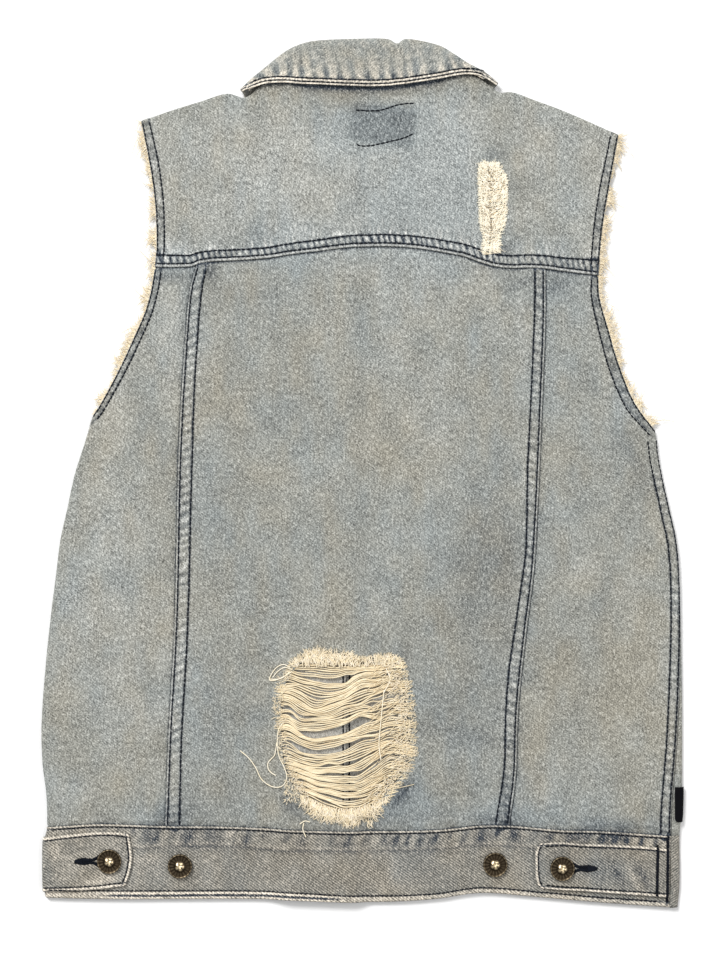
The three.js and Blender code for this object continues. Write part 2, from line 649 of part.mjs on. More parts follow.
function addFronts() {
  const underLeft = between((y) => foldLeft(y) + FOLD_RADIUS + SIDE_FLANGE + SEAM_GAP, 430, 827.7);
  const { lerp } = THREE.MathUtils;
  const upright = (x, yTop, yBottom) => (t) => new THREE.Vector3(x, lerp(yTop, yBottom, t), 0);
  const waistLeft = waistSeam(whereX(waistSeam, LAP_RIGHT)).y;
  const clip = (run, x0, x1) => part(run, whereX(run, x0), whereX(run, x1));
  addPiece('front_left', panel({
    outline: {
      top: inTurn([
        { share: 0.44, run: shoulderLine(SHOULDER_LEFT, SHOULDERS[0]) },
        { share: 0.56, run: curve(FRONT_NECK_LEFT) },
      ]),
      bottom: clip(waistSeam, underLeft(1).x, LAP_RIGHT),
      left: inTurn([{ share: 0.42, run: curve(FRONT_ARMHOLE_LEFT) }, { share: 0.58, run: underLeft }]),
      right: upright(LAP_RIGHT, toY(188), waistLeft),
    },
    layer: -1,
    climb: lapClimb,
    us: steps(8, [], [0.08, 0.15, 0.2, 0.26]),
    vs: steps(18, [0.005, 0.01]),
  }), 'denim');

  // Unrolled from below: past the right fold, up to the seam that shows on top
  const unrolledRight = (y) => 2 * foldRight(y) - seamRight(y) + (Math.PI - 2) * FOLD_RADIUS - SEAM_GAP;
  const right = inTurn([
    { share: 0.42, run: curve(FRONT_ARMHOLE_RIGHT) },
    { share: 0.58, run: between(unrolledRight, 434, 836) },
  ]);
  const waistRight = waistSeam(whereX(waistSeam, LAP_LEFT)).y;
  const foldShares = [0.012, 0.025, 0.038, 0.051, 0.064, 0.08];
  const toEnd = (run, end) => (t) => run(t).lerp(end, smooth((t - 0.9) * 10));
  addPiece('front_right', panel({
    outline: {
      top: inTurn([
        { share: 0.6, run: curve(FRONT_NECK_RIGHT) },
        { share: 0.4, run: shoulderLine(SHOULDER_RIGHT, SHOULDERS[1]) },
      ]),
      bottom: toEnd(clip(waistSeam, LAP_LEFT, toX(660)), right(1)),
      left: upright(LAP_LEFT, toY(160), waistRight),
      right,
    },
    layer: -1,
    us: steps(10, [], foldShares),
    vs: steps(18, [0.005, 0.01]),
  }), 'denim');

  const hem = curve(FRONT_HEM);
  const bandLeft = between((y) => foldLeft(y) + FOLD_RADIUS + SIDE_FLANGE, 827.7, 896.5);
  addPiece('waistband_front_left', panel({
    outline: {
      top: clip(waistSeam, bandLeft(0).x, LAP_RIGHT),
      bottom: clip(hem, bandLeft(1).x, LAP_RIGHT),
      left: bandLeft,
      right: upright(LAP_RIGHT, waistLeft, hem(whereX(hem, LAP_RIGHT)).y),
    },
    layer: -1,
    climb: lapClimb,
    us: steps(6, [], [0.09, 0.15, 0.2, 0.26]),
    vs: steps(2),
  }), 'denim_waistband');

  const bandRight = between(unrolledRight, 836, 908);
  addPiece('waistband_front_right', panel({
    outline: {
      top: toEnd(clip(waistSeam, LAP_LEFT, toX(660)), bandRight(0)),
      bottom: toEnd(clip(hem, LAP_LEFT, toX(660)), bandRight(1)),
      left: upright(LAP_LEFT, waistRight, hem(whereX(hem, LAP_LEFT)).y),
      right: bandRight,
    },
    layer: -1,
    us: steps(10, [], [0.008, 0.016, 0.024, 0.032, 0.04, 0.05, 0.06]),
    vs: steps(2),
  }), 'denim_waistband');
}

// Collar: one folded sheet, fall on top, stand and front leaves underneath

const FALL_POINTS = 4;
const ROLL_POINTS = 6;
const UNDER_POINTS = 6;
const COLLAR_COLUMNS = 2 * COLLAR_ROWS.length - 1;

function addCollar() {
  const rollPoints = COLLAR_ROWS.map(({ roll }) => point(roll));
  const rollCurve = new THREE.CatmullRomCurve3(rollPoints, false, 'centripetal');
  const last = COLLAR_ROWS.length - 1;
  // Between two rows of the table, every curve runs straight
  const mix = (key, t) => {
    const k = Math.min(last - 1, Math.floor(t * last));
    return point(COLLAR_ROWS[k][key]).lerp(point(COLLAR_ROWS[k + 1][key]), t * last - k);
  };
  const middlePoint = point([370, 110]);
  const column = (i, depth) => {
    const t = i / (COLLAR_COLUMNS - 1);
    const roll = mix('roll', t);
    const edge = mix('edge', t);
    const under = mix('under', t);
    const tangent = rollCurve.getTangent(t);
    const inward = new THREE.Vector3(tangent.y, -tangent.x, 0);
    if (inward.dot(middlePoint.clone().sub(roll)) < 0) inward.negate();
    const radius = THREE.MathUtils.lerp(COLLAR_ROLL, COLLAR_ROLL_NECK, Math.abs(2 * t - 1) ** 2);
    const centre = roll.clone().addScaledVector(inward, radius);
    const fallLength = edge.distanceTo(roll);
    const points = [];
    const shortBy = THREE.MathUtils.clamp(1 - fallLength / radius, 0, 1);
    const turnStart = fallLength > radius + 1 ? 0 : Math.asin(shortBy);
    const onRoll = (angle) => {
      const p = centre.clone().addScaledVector(inward, -(radius - depth) * Math.sin(angle));
      return [p.x, p.y, radius + (radius - depth) * Math.cos(angle)];
    };
    for (let k = 0; k < FALL_POINTS; k += 1) {
      const share = 1 - k / FALL_POINTS;
      if (turnStart > 0) {
        points.push(onRoll(turnStart * (1 - 0.12 * share)));
        continue;
      }
      const p = centre.clone().lerp(edge, share);
      const yokeTop = lift(p.x, p.y) + BACK_BASE + CLOTH + lapHeight(p.x, p.y);
      const low = yokeTop + 1 + COLLAR_CLOTH;
      const z = THREE.MathUtils.lerp(2 * radius, low, smooth(share));
      points.push([p.x, p.y, Math.max(z, yokeTop + SEAM_GAP + COLLAR_CLOTH) - depth]);
    }
    for (let k = 0; k <= ROLL_POINTS; k += 1) {
      points.push(onRoll(turnStart + ((Math.PI - turnStart) * k) / ROLL_POINTS));
    }
    const isLeaf = under.y < toY(120);
    for (let k = 1; k <= UNDER_POINTS; k += 1) {
      const share = k / UNDER_POINTS;
      const p = centre.clone().lerp(under, share);
      const rise = isLeaf ? 0 : (BACK_BASE - 0.2) * smooth(share);
      points.push([p.x, p.y, rise + depth]);
    }
    return points;
  };
  const outer = [];
  const inner = [];
  for (let i = 0; i < COLLAR_COLUMNS; i += 1) {
    outer.push(column(i, 0));
    inner.push(column(i, COLLAR_CLOTH));
  }
  const rows = FALL_POINTS + ROLL_POINTS + 1 + UNDER_POINTS;
  const geometry = closedShell(COLLAR_COLUMNS, rows, (i, j) => outer[i][j], (i, j) => inner[i][j]);
  addPiece('collar', geometry, 'denim');
}

// Buttons, label and fringe

// Brass tack button: turned rim, raised middle, flat foot
function buttonGeometry(radius, height) {
  const profile = [
    [0, 0], [radius * 0.86, 0], [radius, height * 0.3], [radius, height * 0.62], [radius * 0.9, height * 0.8],
    [radius * 0.76, height * 0.56], [radius * 0.5, height * 0.66], [radius * 0.3, height], [0, height],
  ].map(([r, z]) => new THREE.Vector2(r, z));
  const geometry = new THREE.LatheGeometry(profile, 10);
  geometry.rotateX(Math.PI / 2);
  return geometry;
}

function addButtons() {
  for (const { name, px, py, onTab } of BACK_BUTTONS) {
    const [x, y, z] = place(toX(px), toY(py), onTab ? -(CLOTH + TAB_CLEARANCE) : 0, 1);
    const geometry = buttonGeometry(BUTTON_RADIUS, BUTTON_HEIGHT);
    geometry.translate(x, y, z + SEAM_GAP);
    addPiece(name, geometry, 'brass');
  }
  const heights = [WAISTBAND_BUTTON_Y];
  for (let k = 0; k < 5; k += 1) heights.push(FRONT_BUTTON_TOP_Y - k * FRONT_BUTTON_PITCH);
  heights.sort((a, b) => b - a);
  heights.forEach((y, k) => {
    const geometry = buttonGeometry(BUTTON_RADIUS, FRONT_BUTTON_HEIGHT);
    geometry.rotateX(Math.PI);
    geometry.translate(FRONT_BUTTON_X, y, FRONT_BUTTON_HEIGHT);
    addPiece(`button_front_${k + 1}`, geometry, 'brass');
  });
}

function addLabel() {
  const corners = { left: 675, right: 683.4, top: 787, bottom: 822 };
  const line = (x0, y0, x1, y1) => (t) => point([x0, y0]).lerp(point([x1, y1]), t);
  const { left, right, top, bottom } = corners;
  addPiece('side_label', panel({
    outline: {
      top: line(left, top, right, top),
      bottom: line(left, bottom, right, bottom),
      left: line(left, top, left, bottom),
      right: line(right, top, right, bottom),
    },
    layer: 1,
    us: steps(5),
    vs: steps(3),
    thickness: LABEL_CLOTH,
    raise: SEAM_RIDGE + SEAM_GAP + LABEL_CLOTH,
  }), 'label');
}

// A frayed edge: a narrow strip beside the cloth's edge, with one four-sided strand a step
function addFringe(name, run, { from, to, strands, side, layer, length, gap }) {
  const positions = [];
  const index = [];
  const depth = CLOTH / 2;
  const stripOut = gap + 0.8;
  const halfHeight = 0.4;
  const at = (k) => {
    const t = from + ((to - from) * k) / strands;
    const p = run(t);
    const ahead = run(Math.min(1, t + 0.004));
    const behind = run(Math.max(0, t - 0.004));
    const out = new THREE.Vector3(behind.y - ahead.y, ahead.x - behind.x, 0).normalize();
    if (out.x * side < 0) out.negate();
    const [x, y, z] = place(p.x, p.y, depth, layer);
    return { p: new THREE.Vector3(x, y, z), out };
  };
  for (let k = 0; k <= strands; k += 1) {
    const { p, out } = at(k);
    const inside = p.clone().addScaledVector(out, gap);
    const outside = p.clone().addScaledVector(out, stripOut);
    positions.push(inside.x, inside.y, inside.z);
    positions.push(outside.x, outside.y, outside.z + halfHeight);
    positions.push(outside.x, outside.y, outside.z - halfHeight);
  }
  for (let k = 0; k < strands; k += 1) {
    const a = 3 * k;
    const b = a + 3;
    index.push(a, b, b + 1, a, b + 1, a + 1);
    index.push(a, b + 2, b, a, a + 2, b + 2);
    const { p, out } = at(k + 0.5);
    const along = new THREE.Vector3(-out.y, out.x, 0);
    const reach = stripOut + length * (0.8 + 0.2 * Math.sin(k * 2.4));
    const tip = p.clone().addScaledVector(out, reach).addScaledVector(along, 0.8 * Math.sin(k * 1.7));
    const apex = positions.length / 3;
    positions.push(tip.x, tip.y, Math.max(0.5, p.z - 1.6));
    index.push(a + 1, b + 1, apex, b + 1, b + 2, apex, b + 2, a + 2, apex, a + 2, a + 1, apex);
  }
  const end = 3 * strands;
  index.push(0, 1, 2, end, end + 2, end + 1);
  addPiece(name, facingOut(positions, index), 'threads');
}

function addFringes() {
  const backLeft = chain(ARMHOLE_LEFT_YOKE, ARMHOLE_LEFT_SIDE);
  const backRight = chain(ARMHOLE_RIGHT_YOKE, ARMHOLE_RIGHT_SIDE);
  const back = { strands: 66, layer: 1, length: 5.5, gap: FRAY_GAP };
  const front = { strands: 42, layer: -1, length: 4.5, gap: FRONT_FRAY_GAP };
  addFringe('fringe_armhole_back_left', backLeft, { ...back, from: 0.02, to: 0.9, side: -1 });
  addFringe('fringe_armhole_back_right', backRight, { ...back, from: 0.02, to: 0.94, side: 1 });
  const frontLeft = curve(FRONT_ARMHOLE_LEFT);
  const frontRight = curve(FRONT_ARMHOLE_RIGHT);
  addFringe('fringe_armhole_front_left', frontLeft, { ...front, from: 0.05, to: 0.94, side: -1 });
  addFringe('fringe_armhole_front_right', frontRight, { ...front, from: 0.05, to: 0.8, side: 1 });
}

addYoke();
addCentre();
addSides();
addWaistbandBack();
addTab('tab_left', TAB_LEFT, TAB_WRAP);
addTab('tab_right', TAB_RIGHT, 0);
addFronts();
addCollar();
addButtons();
addLabel();
addFringes();

export default vest;
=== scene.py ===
"""A denim vest laid flat with its back up, dressed in cloth, stitching, frayed threads and buttons."""

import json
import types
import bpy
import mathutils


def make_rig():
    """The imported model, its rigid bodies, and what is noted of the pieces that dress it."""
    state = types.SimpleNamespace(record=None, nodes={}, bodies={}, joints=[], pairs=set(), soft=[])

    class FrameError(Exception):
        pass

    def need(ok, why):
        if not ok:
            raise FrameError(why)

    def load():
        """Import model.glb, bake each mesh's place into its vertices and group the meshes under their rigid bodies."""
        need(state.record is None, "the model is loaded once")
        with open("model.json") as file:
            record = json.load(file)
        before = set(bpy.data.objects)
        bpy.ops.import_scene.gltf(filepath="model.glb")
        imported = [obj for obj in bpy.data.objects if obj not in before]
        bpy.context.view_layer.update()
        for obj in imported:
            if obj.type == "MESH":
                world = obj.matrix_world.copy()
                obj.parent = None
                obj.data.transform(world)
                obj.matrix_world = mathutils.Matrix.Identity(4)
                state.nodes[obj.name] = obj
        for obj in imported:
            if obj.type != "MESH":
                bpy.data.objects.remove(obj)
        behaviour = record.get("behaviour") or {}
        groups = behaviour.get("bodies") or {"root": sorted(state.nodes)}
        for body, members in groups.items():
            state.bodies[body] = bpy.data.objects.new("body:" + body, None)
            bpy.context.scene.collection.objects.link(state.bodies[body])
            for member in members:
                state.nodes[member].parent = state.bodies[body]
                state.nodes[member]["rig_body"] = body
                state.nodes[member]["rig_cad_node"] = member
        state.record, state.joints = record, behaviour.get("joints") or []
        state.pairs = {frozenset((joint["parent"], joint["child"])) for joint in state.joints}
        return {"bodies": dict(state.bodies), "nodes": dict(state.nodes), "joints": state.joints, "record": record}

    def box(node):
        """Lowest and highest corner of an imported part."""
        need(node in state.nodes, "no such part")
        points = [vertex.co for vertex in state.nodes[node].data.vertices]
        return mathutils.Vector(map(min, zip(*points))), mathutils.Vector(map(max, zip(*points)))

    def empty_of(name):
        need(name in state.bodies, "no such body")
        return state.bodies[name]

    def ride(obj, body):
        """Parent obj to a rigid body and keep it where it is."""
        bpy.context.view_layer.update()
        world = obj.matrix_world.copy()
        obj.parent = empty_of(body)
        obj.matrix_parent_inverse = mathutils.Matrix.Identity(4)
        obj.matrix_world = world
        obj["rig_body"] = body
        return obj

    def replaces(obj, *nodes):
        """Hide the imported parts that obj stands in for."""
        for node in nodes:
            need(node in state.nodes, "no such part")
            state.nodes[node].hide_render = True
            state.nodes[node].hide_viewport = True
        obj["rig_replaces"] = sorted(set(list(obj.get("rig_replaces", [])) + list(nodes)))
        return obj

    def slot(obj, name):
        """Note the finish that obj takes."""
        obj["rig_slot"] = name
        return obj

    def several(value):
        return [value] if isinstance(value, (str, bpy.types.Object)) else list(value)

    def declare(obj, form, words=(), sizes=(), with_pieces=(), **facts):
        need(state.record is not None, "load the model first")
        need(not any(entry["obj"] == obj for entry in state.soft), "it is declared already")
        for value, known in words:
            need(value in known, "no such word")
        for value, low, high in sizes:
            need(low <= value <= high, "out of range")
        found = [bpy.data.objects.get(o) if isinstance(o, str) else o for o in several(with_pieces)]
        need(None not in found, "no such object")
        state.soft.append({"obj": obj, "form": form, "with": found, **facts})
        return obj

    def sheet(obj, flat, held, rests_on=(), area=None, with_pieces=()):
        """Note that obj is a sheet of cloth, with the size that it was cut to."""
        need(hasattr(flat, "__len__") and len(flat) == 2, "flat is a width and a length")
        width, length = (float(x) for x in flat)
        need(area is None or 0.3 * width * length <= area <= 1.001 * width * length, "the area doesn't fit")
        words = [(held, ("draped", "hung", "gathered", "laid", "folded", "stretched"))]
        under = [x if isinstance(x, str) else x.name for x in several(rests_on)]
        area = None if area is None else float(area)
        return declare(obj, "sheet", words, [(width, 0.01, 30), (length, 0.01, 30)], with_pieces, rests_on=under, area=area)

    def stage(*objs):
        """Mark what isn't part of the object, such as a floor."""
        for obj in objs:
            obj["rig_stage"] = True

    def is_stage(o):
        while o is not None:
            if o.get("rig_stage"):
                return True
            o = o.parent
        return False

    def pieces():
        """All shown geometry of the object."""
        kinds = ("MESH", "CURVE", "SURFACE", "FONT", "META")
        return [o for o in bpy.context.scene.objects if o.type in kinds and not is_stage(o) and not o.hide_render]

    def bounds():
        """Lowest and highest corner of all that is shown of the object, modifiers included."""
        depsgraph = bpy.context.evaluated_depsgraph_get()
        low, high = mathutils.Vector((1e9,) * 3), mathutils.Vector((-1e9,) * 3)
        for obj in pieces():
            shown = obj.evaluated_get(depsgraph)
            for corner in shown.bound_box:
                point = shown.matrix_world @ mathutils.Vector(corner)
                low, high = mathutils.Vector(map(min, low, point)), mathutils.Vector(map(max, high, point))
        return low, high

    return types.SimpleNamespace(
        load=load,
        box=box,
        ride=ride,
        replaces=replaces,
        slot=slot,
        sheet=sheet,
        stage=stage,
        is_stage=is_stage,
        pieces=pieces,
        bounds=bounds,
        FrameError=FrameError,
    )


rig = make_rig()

bl_info = {
    "name": "Denim vest",
    "version": (1, 0, 0),
    "blender": (4, 5, 0),
    "location": "3D View > Sidebar > Vest",
    "description": "Builds a ripped denim vest around its packed solids",
    "category": "Add Mesh",
}

import json
import math

import bmesh
import bpy
import numpy as np
from mathutils import Matrix, Vector
from mathutils.bvhtree import BVHTree

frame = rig.load()
CAD_BOX = [list(corner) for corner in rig.bounds()]

MM = 0.001
BODY = "root"

# The photo's frame: millimetres a pixel, and the pixel that is the origin
MM_PER_PX = 0.72
ORIGIN_PX = (362.7, 473.1)
PHOTO_PX = (720, 960)

# Sizes of the garment, mm
CLOTH = 1.3
LAYER_GAP = 1.6
LAP_GAP = 0.6
FOLD_RADIUS = CLOTH + LAYER_GAP / 2
BACK_FACE = 2 * CLOTH + LAYER_GAP
SIDE_FLANGE = 6.0
TAB_CLEARANCE = 0.9
LAP_LEFT, LAP_RIGHT, LAP_TOP = -50.0, -12.0, 228.0
COLLAR_CLOTH = 1.8
LEAF_LIFT, FRONT_LIFT, LEAF_RAMP = 2.1, 2.4, 18.0
FOLDS_BEGIN_PY = 395
BUTTON_RADIUS = 8.8

# The twill's lines: radians of their wave for each metre across and up
WALE = (-2180, 3100)

# Curve tables: each row is a place in the photo, (px, py)
SHOULDER_LEFT = [(140.9, 120.7), (168, 111), (200, 101), (228, 93), (237, 95)]
SHOULDER_RIGHT = [(501, 92), (510, 91.4), (536, 100), (568, 112), (618.7, 134.4)]
BACK_NECK = [
    (237, 95), (243, 97), (251, 93.5), (258, 87), (270, 79.5), (290, 73), (320, 71), (370, 71), (430, 73),
    (455, 74), (470, 74), (483, 80), (493, 88), (501, 92),
]
ARMHOLE_LEFT_YOKE = [(140.9, 120.7), (147.2, 151.7), (153, 186), (155.8, 215), (156.4, 249), (154.8, 267.2)]
ARMHOLE_RIGHT_YOKE = [(618.7, 134.4), (608.4, 191.8), (602.7, 226.3), (599.2, 263), (598.5, 275.7)]
ARMHOLE_LEFT_SIDE = [
    (154.8, 267.2), (150.8, 291), (145, 311.7), (133.6, 338), (122, 363.3), (108.4, 389.7), (96, 411),
    (86, 423), (77, 432),
]
ARMHOLE_RIGHT_SIDE = [
    (598.5, 275.7), (599.2, 295), (608.4, 329.6), (618.7, 364), (634.8, 403), (657.8, 434),
]
YOKE_EDGE = [
    (154.8, 267.2), (180, 267.2), (192, 266.4), (200, 263.3), (212, 261.7), (226, 261), (240, 260.3),
    (255, 259.3), (270, 258), (285, 256), (300, 254), (315, 252.3), (352, 247.8), (385.3, 246.5),
    (418.5, 248.6), (450, 253.8), (465, 257), (480, 262.3), (495, 266.6), (511, 268.3), (526, 267.8),
    (545.7, 268.8), (561, 271), (598.5, 275.7),
]
PRINCESS_LEFT = [
    (196.3, 264.9), (190, 288.5), (184.8, 342), (178.4, 454.6), (174.2, 628.8), (168.3, 735), (165, 826),
]
PRINCESS_RIGHT = [
    (545.7, 268.8), (545.7, 319), (541.8, 420), (538.2, 504), (533.8, 574), (526.5, 632), (518.5, 710),
    (515.9, 777), (509.5, 825.6),
]
WAIST_SEAM = [
    (46, 827.7), (96, 824.2), (165, 826), (226.6, 826.7), (299.3, 829.6), (370, 831), (440, 829.7),
    (480.8, 825.6), (509.5, 825.6), (562.4, 830.2), (597.4, 831), (654.8, 834.8), (671, 836),
]
BACK_HEM = [
    (45.5, 897.5), (98, 899), (264, 899), (360, 902), (408, 901), (440, 898.5), (480, 893), (536, 897),
    (600, 902.5), (669.5, 907.5),
]
FRONT_HEM = [
    (45.5, 896.5), (150, 897.5), (300, 899), (380, 899), (480, 891), (560, 897), (620, 903), (678, 908),
]
FRONT_NECK_LEFT = [(237, 95), (252, 122), (290, 160), (345.3, 188)]
FRONT_NECK_RIGHT = [(292.6, 160), (345, 184), (420, 176), (486, 124), (501, 92)]
FRONT_ARMHOLE_LEFT = [
    (140.9, 120.7), (160, 160), (171, 215), (171, 265), (163, 311), (146, 350), (122, 392), (101.5, 430),
]
FRONT_ARMHOLE_RIGHT = [
    (618.7, 134.4), (596, 180), (586, 240), (584, 285), (592, 335), (604, 372), (622, 408), (658, 434),
]

# Stitch rows beside an edge, mm from it: one distance, or rows of (share of the edge, distance)
YOKE_ROWS = (
    2.5,
    [(0, 8.9), (0.1, 7.8), (0.25, 7.5), (0.45, 8.3), (0.6, 8.3), (0.72, 8.7), (0.82, 9.0), (0.92, 9.4),
     (1, 11)],
)
PRINCESS_ROWS = [
    (1.8, [(0, 7.8), (0.05, 8.9), (0.2, 9.1), (0.35, 10.1), (0.6, 9.7), (0.85, 9.6), (1, 10.4)]),
    (
        1.9,
        [(0, 7.8), (0.15, 8.4), (0.28, 8.5), (0.35, 9), (0.5, 7), (0.56, 8), (0.66, 8.7), (0.72, 9.6),
         (0.8, 9.1), (0.87, 8.6), (1, 10.1)],
    ),
]
# Armholes: left and right on the yoke, left and right on the side panels
ARMHOLE_ROWS = [
    (0.8, [(0, 5.8), (0.3, 6.5), (1, 5.4)]), (0.8, [(0, 5.5), (0.4, 6.6), (1, 5.6)]),
    (0.8, [(0, 5.0), (0.15, 5.1), (0.32, 4.0)]),
    (0.8, [(0, 5.0), (0.08, 6.6), (0.17, 7.8), (0.25, 7.2), (0.30, 5.6), (0.32, 4.6)]),
]

# The armhole's share of a side panel's outer edge, and the rows of the right side seam
ARMHOLE_SHARE = 0.32
SIDE_ROWS = (1.6, 7.6)

# The hem's row of stitches, from left to right
HEM_ROW = [(0, 5.9), (0.12, 5.9), (0.42, 5.5), (0.52, 4.4), (0.62, 3.6), (1, 3.6)]

# Side folds and the right side seam: (py, px)
FOLD_LEFT = [
    (400, 97.5), (444, 84), (476, 74), (508, 67), (540, 60), (572, 56), (620, 50), (668, 45), (724, 41),
    (764, 42), (796, 46), (828, 46.5), (842, 44), (888, 44), (898, 45.5),
]
FOLD_RIGHT = [
    (400, 651), (434, 656), (460, 659), (484, 663), (508, 669), (540, 676), (572, 679), (668, 682),
    (764, 682.5), (812, 682), (836, 680), (884, 680), (908, 678),
]
SEAM_RIGHT = [
    (434, 657.8), (460, 660.7), (508, 670.7), (540, 677.7), (572, 680.7), (620, 681.5), (668, 680.5),
    (740, 677.3), (800, 672.5), (836, 671), (908, 669.5),
]

# Collar columns: roll on the outline, edge of the fall, lower edge underneath
COLLAR_ROLL = [
    (240, 89.5), (251, 79), (262, 70), (283, 53), (299, 44.6), (316, 40.6), (345, 39), (385, 38.6),
    (397, 43.4), (407.6, 38.8), (437, 44.6), (453, 53), (468, 62.8), (485, 72), (498.5, 83),
]
COLLAR_EDGE = [
    (242.5, 91.8), (255, 88), (267, 84.6), (285, 83.8), (300, 85), (320, 85.6), (348, 86.8), (385, 87),
    (397, 85.8), (408, 84.6), (436, 80.4), (455, 76.8), (469, 75.4), (482, 77.5), (497, 86.2),
]
COLLAR_UNDER = [
    (243, 150), (262, 196), (285, 194), (327, 184), (306, 72), (330, 69), (350, 68.5), (385, 68.5),
    (397, 68.5), (406, 69), (432, 70), (414, 184), (455, 194), (478, 196), (496, 150),
]

# Soft folds of the back: middle in the photo, turn from +X in degrees, sizes in mm
FOLDS = [
    # px, py, turn, length, width, height
    (628, 470, -62, 90, 13, 1.5), (604, 585, -70, 60, 15, 1.3), (560, 640, 80, 80, 20, 0.8),
    (525, 300, 68, 34, 7, 1.1), (236, 470, 84, 90, 18, 0.9), (120, 560, 72, 80, 16, 1.2),
    (470, 560, 62, 70, 16, 1.0), (330, 380, 12, 90, 22, 0.8),
]

# Cloth patches that are darker (below 0) or lighter (above 0), partly indigo kept or lost and partly
# painted shade in folds and creases: middle and half sizes in px, turn in degrees, amount and, at will,
# how square the patch is
DYE_AND_SHADE_PATCHES = [
    (168, 277, 18, 7, 0, -0.40), (211, 273, 6, 10, 0, -0.55), (496, 157, 16, 9, 0, -0.25),
    (516, 188, 7, 20, 0, -0.20), (503, 250, 9, 5, 20, -0.55), (524, 282, 5, 16, -60, -0.35),
    (556, 287, 7, 15, -70, -0.32), (612, 826, 42, 6, -4, -0.34), (502, 820, 24, 8, 0, -0.50),
    (430, 816, 40, 9, 0, -0.18), (166, 818, 10, 10, 0, -0.28), (292, 806, 18, 8, -42, -0.55),
    (400, 797, 20, 7, 52, -0.70), (404, 652, 12, 9, 0, -0.25), (428, 730, 9, 60, 90, -0.16),
    (262, 715, 8, 50, 90, -0.12), (508, 742, 7, 44, 86, -0.18), (152, 838, 8, 8, 0, -0.75),
    (188, 837, 10, 8, 0, -0.80), (214, 838, 8, 9, 0, -0.62), (246, 840, 6, 7, 0, -0.50),
    (300, 842, 9, 7, 0, -0.50), (345, 843, 12, 7, 0, -0.52), (392, 843, 8, 7, 0, -0.48),
    (430, 841, 9, 7, 0, -0.52), (482, 838, 8, 7, 0, -0.75), (516, 838, 8, 7, 0, -0.70),
    (578, 837, 9, 6, 0, -0.72), (606, 838, 8, 6, 0, -0.75), (621, 838, 7, 6, 0, -0.7),
    (545, 838, 6, 4, 0, -0.45), (640, 470, 8, 26, 28, -0.22), (612, 440, 9, 22, 40, -0.14),
    (580, 600, 16, 60, 80, -0.10), (380, 170, 260, 90, 0, 0.19), (110, 560, 45, 160, 0, 0.12),
    (172, 330, 18, 60, 0, 0.14), (492, 560, 42, 110, 0, -0.26), (506, 800, 5, 26, 0, -0.45),
    (225, 730, 40, 80, 0, -0.10), (465, 750, 40, 70, 0, -0.10), (383, 125.5, 33, 19.5, -8, -0.46, 14),
    (402, 120, 14, 17, -8, -0.08, 6), (404, 99, 14, 1.6, -8, 0.3), (618, 876, 4, 13, 25, -0.6),
    (643, 876, 4, 13, 25, -0.6), (631, 873, 4, 12, 25, 0.35), (600, 880, 5, 8, 0, -0.2),
    (560, 855, 14, 8, 0, -0.12), (70, 845, 6, 6, 0, -0.25), (88, 843, 5, 6, 0, -0.2),
    (56, 850, 5, 8, 0, 0.2), (60, 875, 10, 6, 0, 0.12), (96, 882, 12, 4, 0, 0.25), (112, 878, 8, 5, 0, 0.2),
    (90, 872, 16, 5, 20, -0.15), (48, 872, 4, 14, 0, -0.3), (230, 835, 10, 6, 0, 0.25),
    (165, 852, 26, 3, 4, -0.25), (150, 856, 20, 4, 12, 0.2), (205, 848, 18, 3, -8, -0.3),
    (300, 851, 40, 2, 0, -0.2), (430, 852, 40, 2, 0, -0.2), (340, 640, 40, 6, 0, -0.10),
    (190, 690, 7, 60, 88, -0.14), (300, 180, 60, 40, 0, 0.05), (420, 380, 60, 60, 0, 0.05),
    (300, 545, 60, 60, 0, -0.05), (450, 700, 40, 60, 90, -0.10), (500, 125, 14, 34, 14, -0.20),
    (494, 152, 13, 9, 0, -0.22), (432, 200, 46, 44, 0, -0.05), (182, 812, 40, 11, 0, -0.20),
    (350, 822, 60, 9, 0, -0.24), (404, 786, 12, 26, 30, -0.22), (640, 432, 16, 30, 38, -0.14),
    (622, 410, 8, 34, 34, 0.12), (522, 330, 3, 60, 2, 0.16), (604, 868, 40, 13, 0, -0.14),
    (85, 862, 44, 24, 0, 0.14), (590, 700, 50, 90, 0, -0.05),
]

# Where the wash is bluer (above 0) or warmer (below 0): middle and half sizes in px, amount
HUE_PATCHES = [
    (425, 195, 80, 75, 1.3), (383, 125, 36, 21, 1.7), (600, 868, 40, 16, 0.9), (300, 248, 95, 22, 0.9),
    (470, 245, 60, 14, 0.7), (170, 262, 25, 14, 1.2), (345, 130, 60, 30, 0.4), (545, 330, 10, 50, 0.5),
    (90, 450, 40, 60, -0.5), (640, 640, 40, 150, -0.6), (590, 160, 30, 60, -0.5), (590, 720, 70, 90, -0.7),
    (470, 640, 40, 60, -0.4), (160, 160, 30, 70, -0.3), (400, 420, 40, 60, -0.4), (510, 815, 60, 14, 1.1),
    (160, 815, 30, 16, 0.9), (400, 800, 30, 16, 0.8), (600, 825, 60, 8, 0.9),
]

# The rip: how far its edge is from its middle at most in mm, and its hole in the cloth, (px, py)
RIP_REACH = 75
RIP_HOLE = [
    (298, 664), (314, 657), (346, 657), (370, 661), (396, 660), (404, 680), (408, 705), (410, 738),
    (408, 762), (400, 776), (388, 790), (376, 803), (360, 810), (332, 812), (314, 803), (298, 790),
    (288, 775), (283, 755), (281, 730), (281, 702), (286, 682),
]
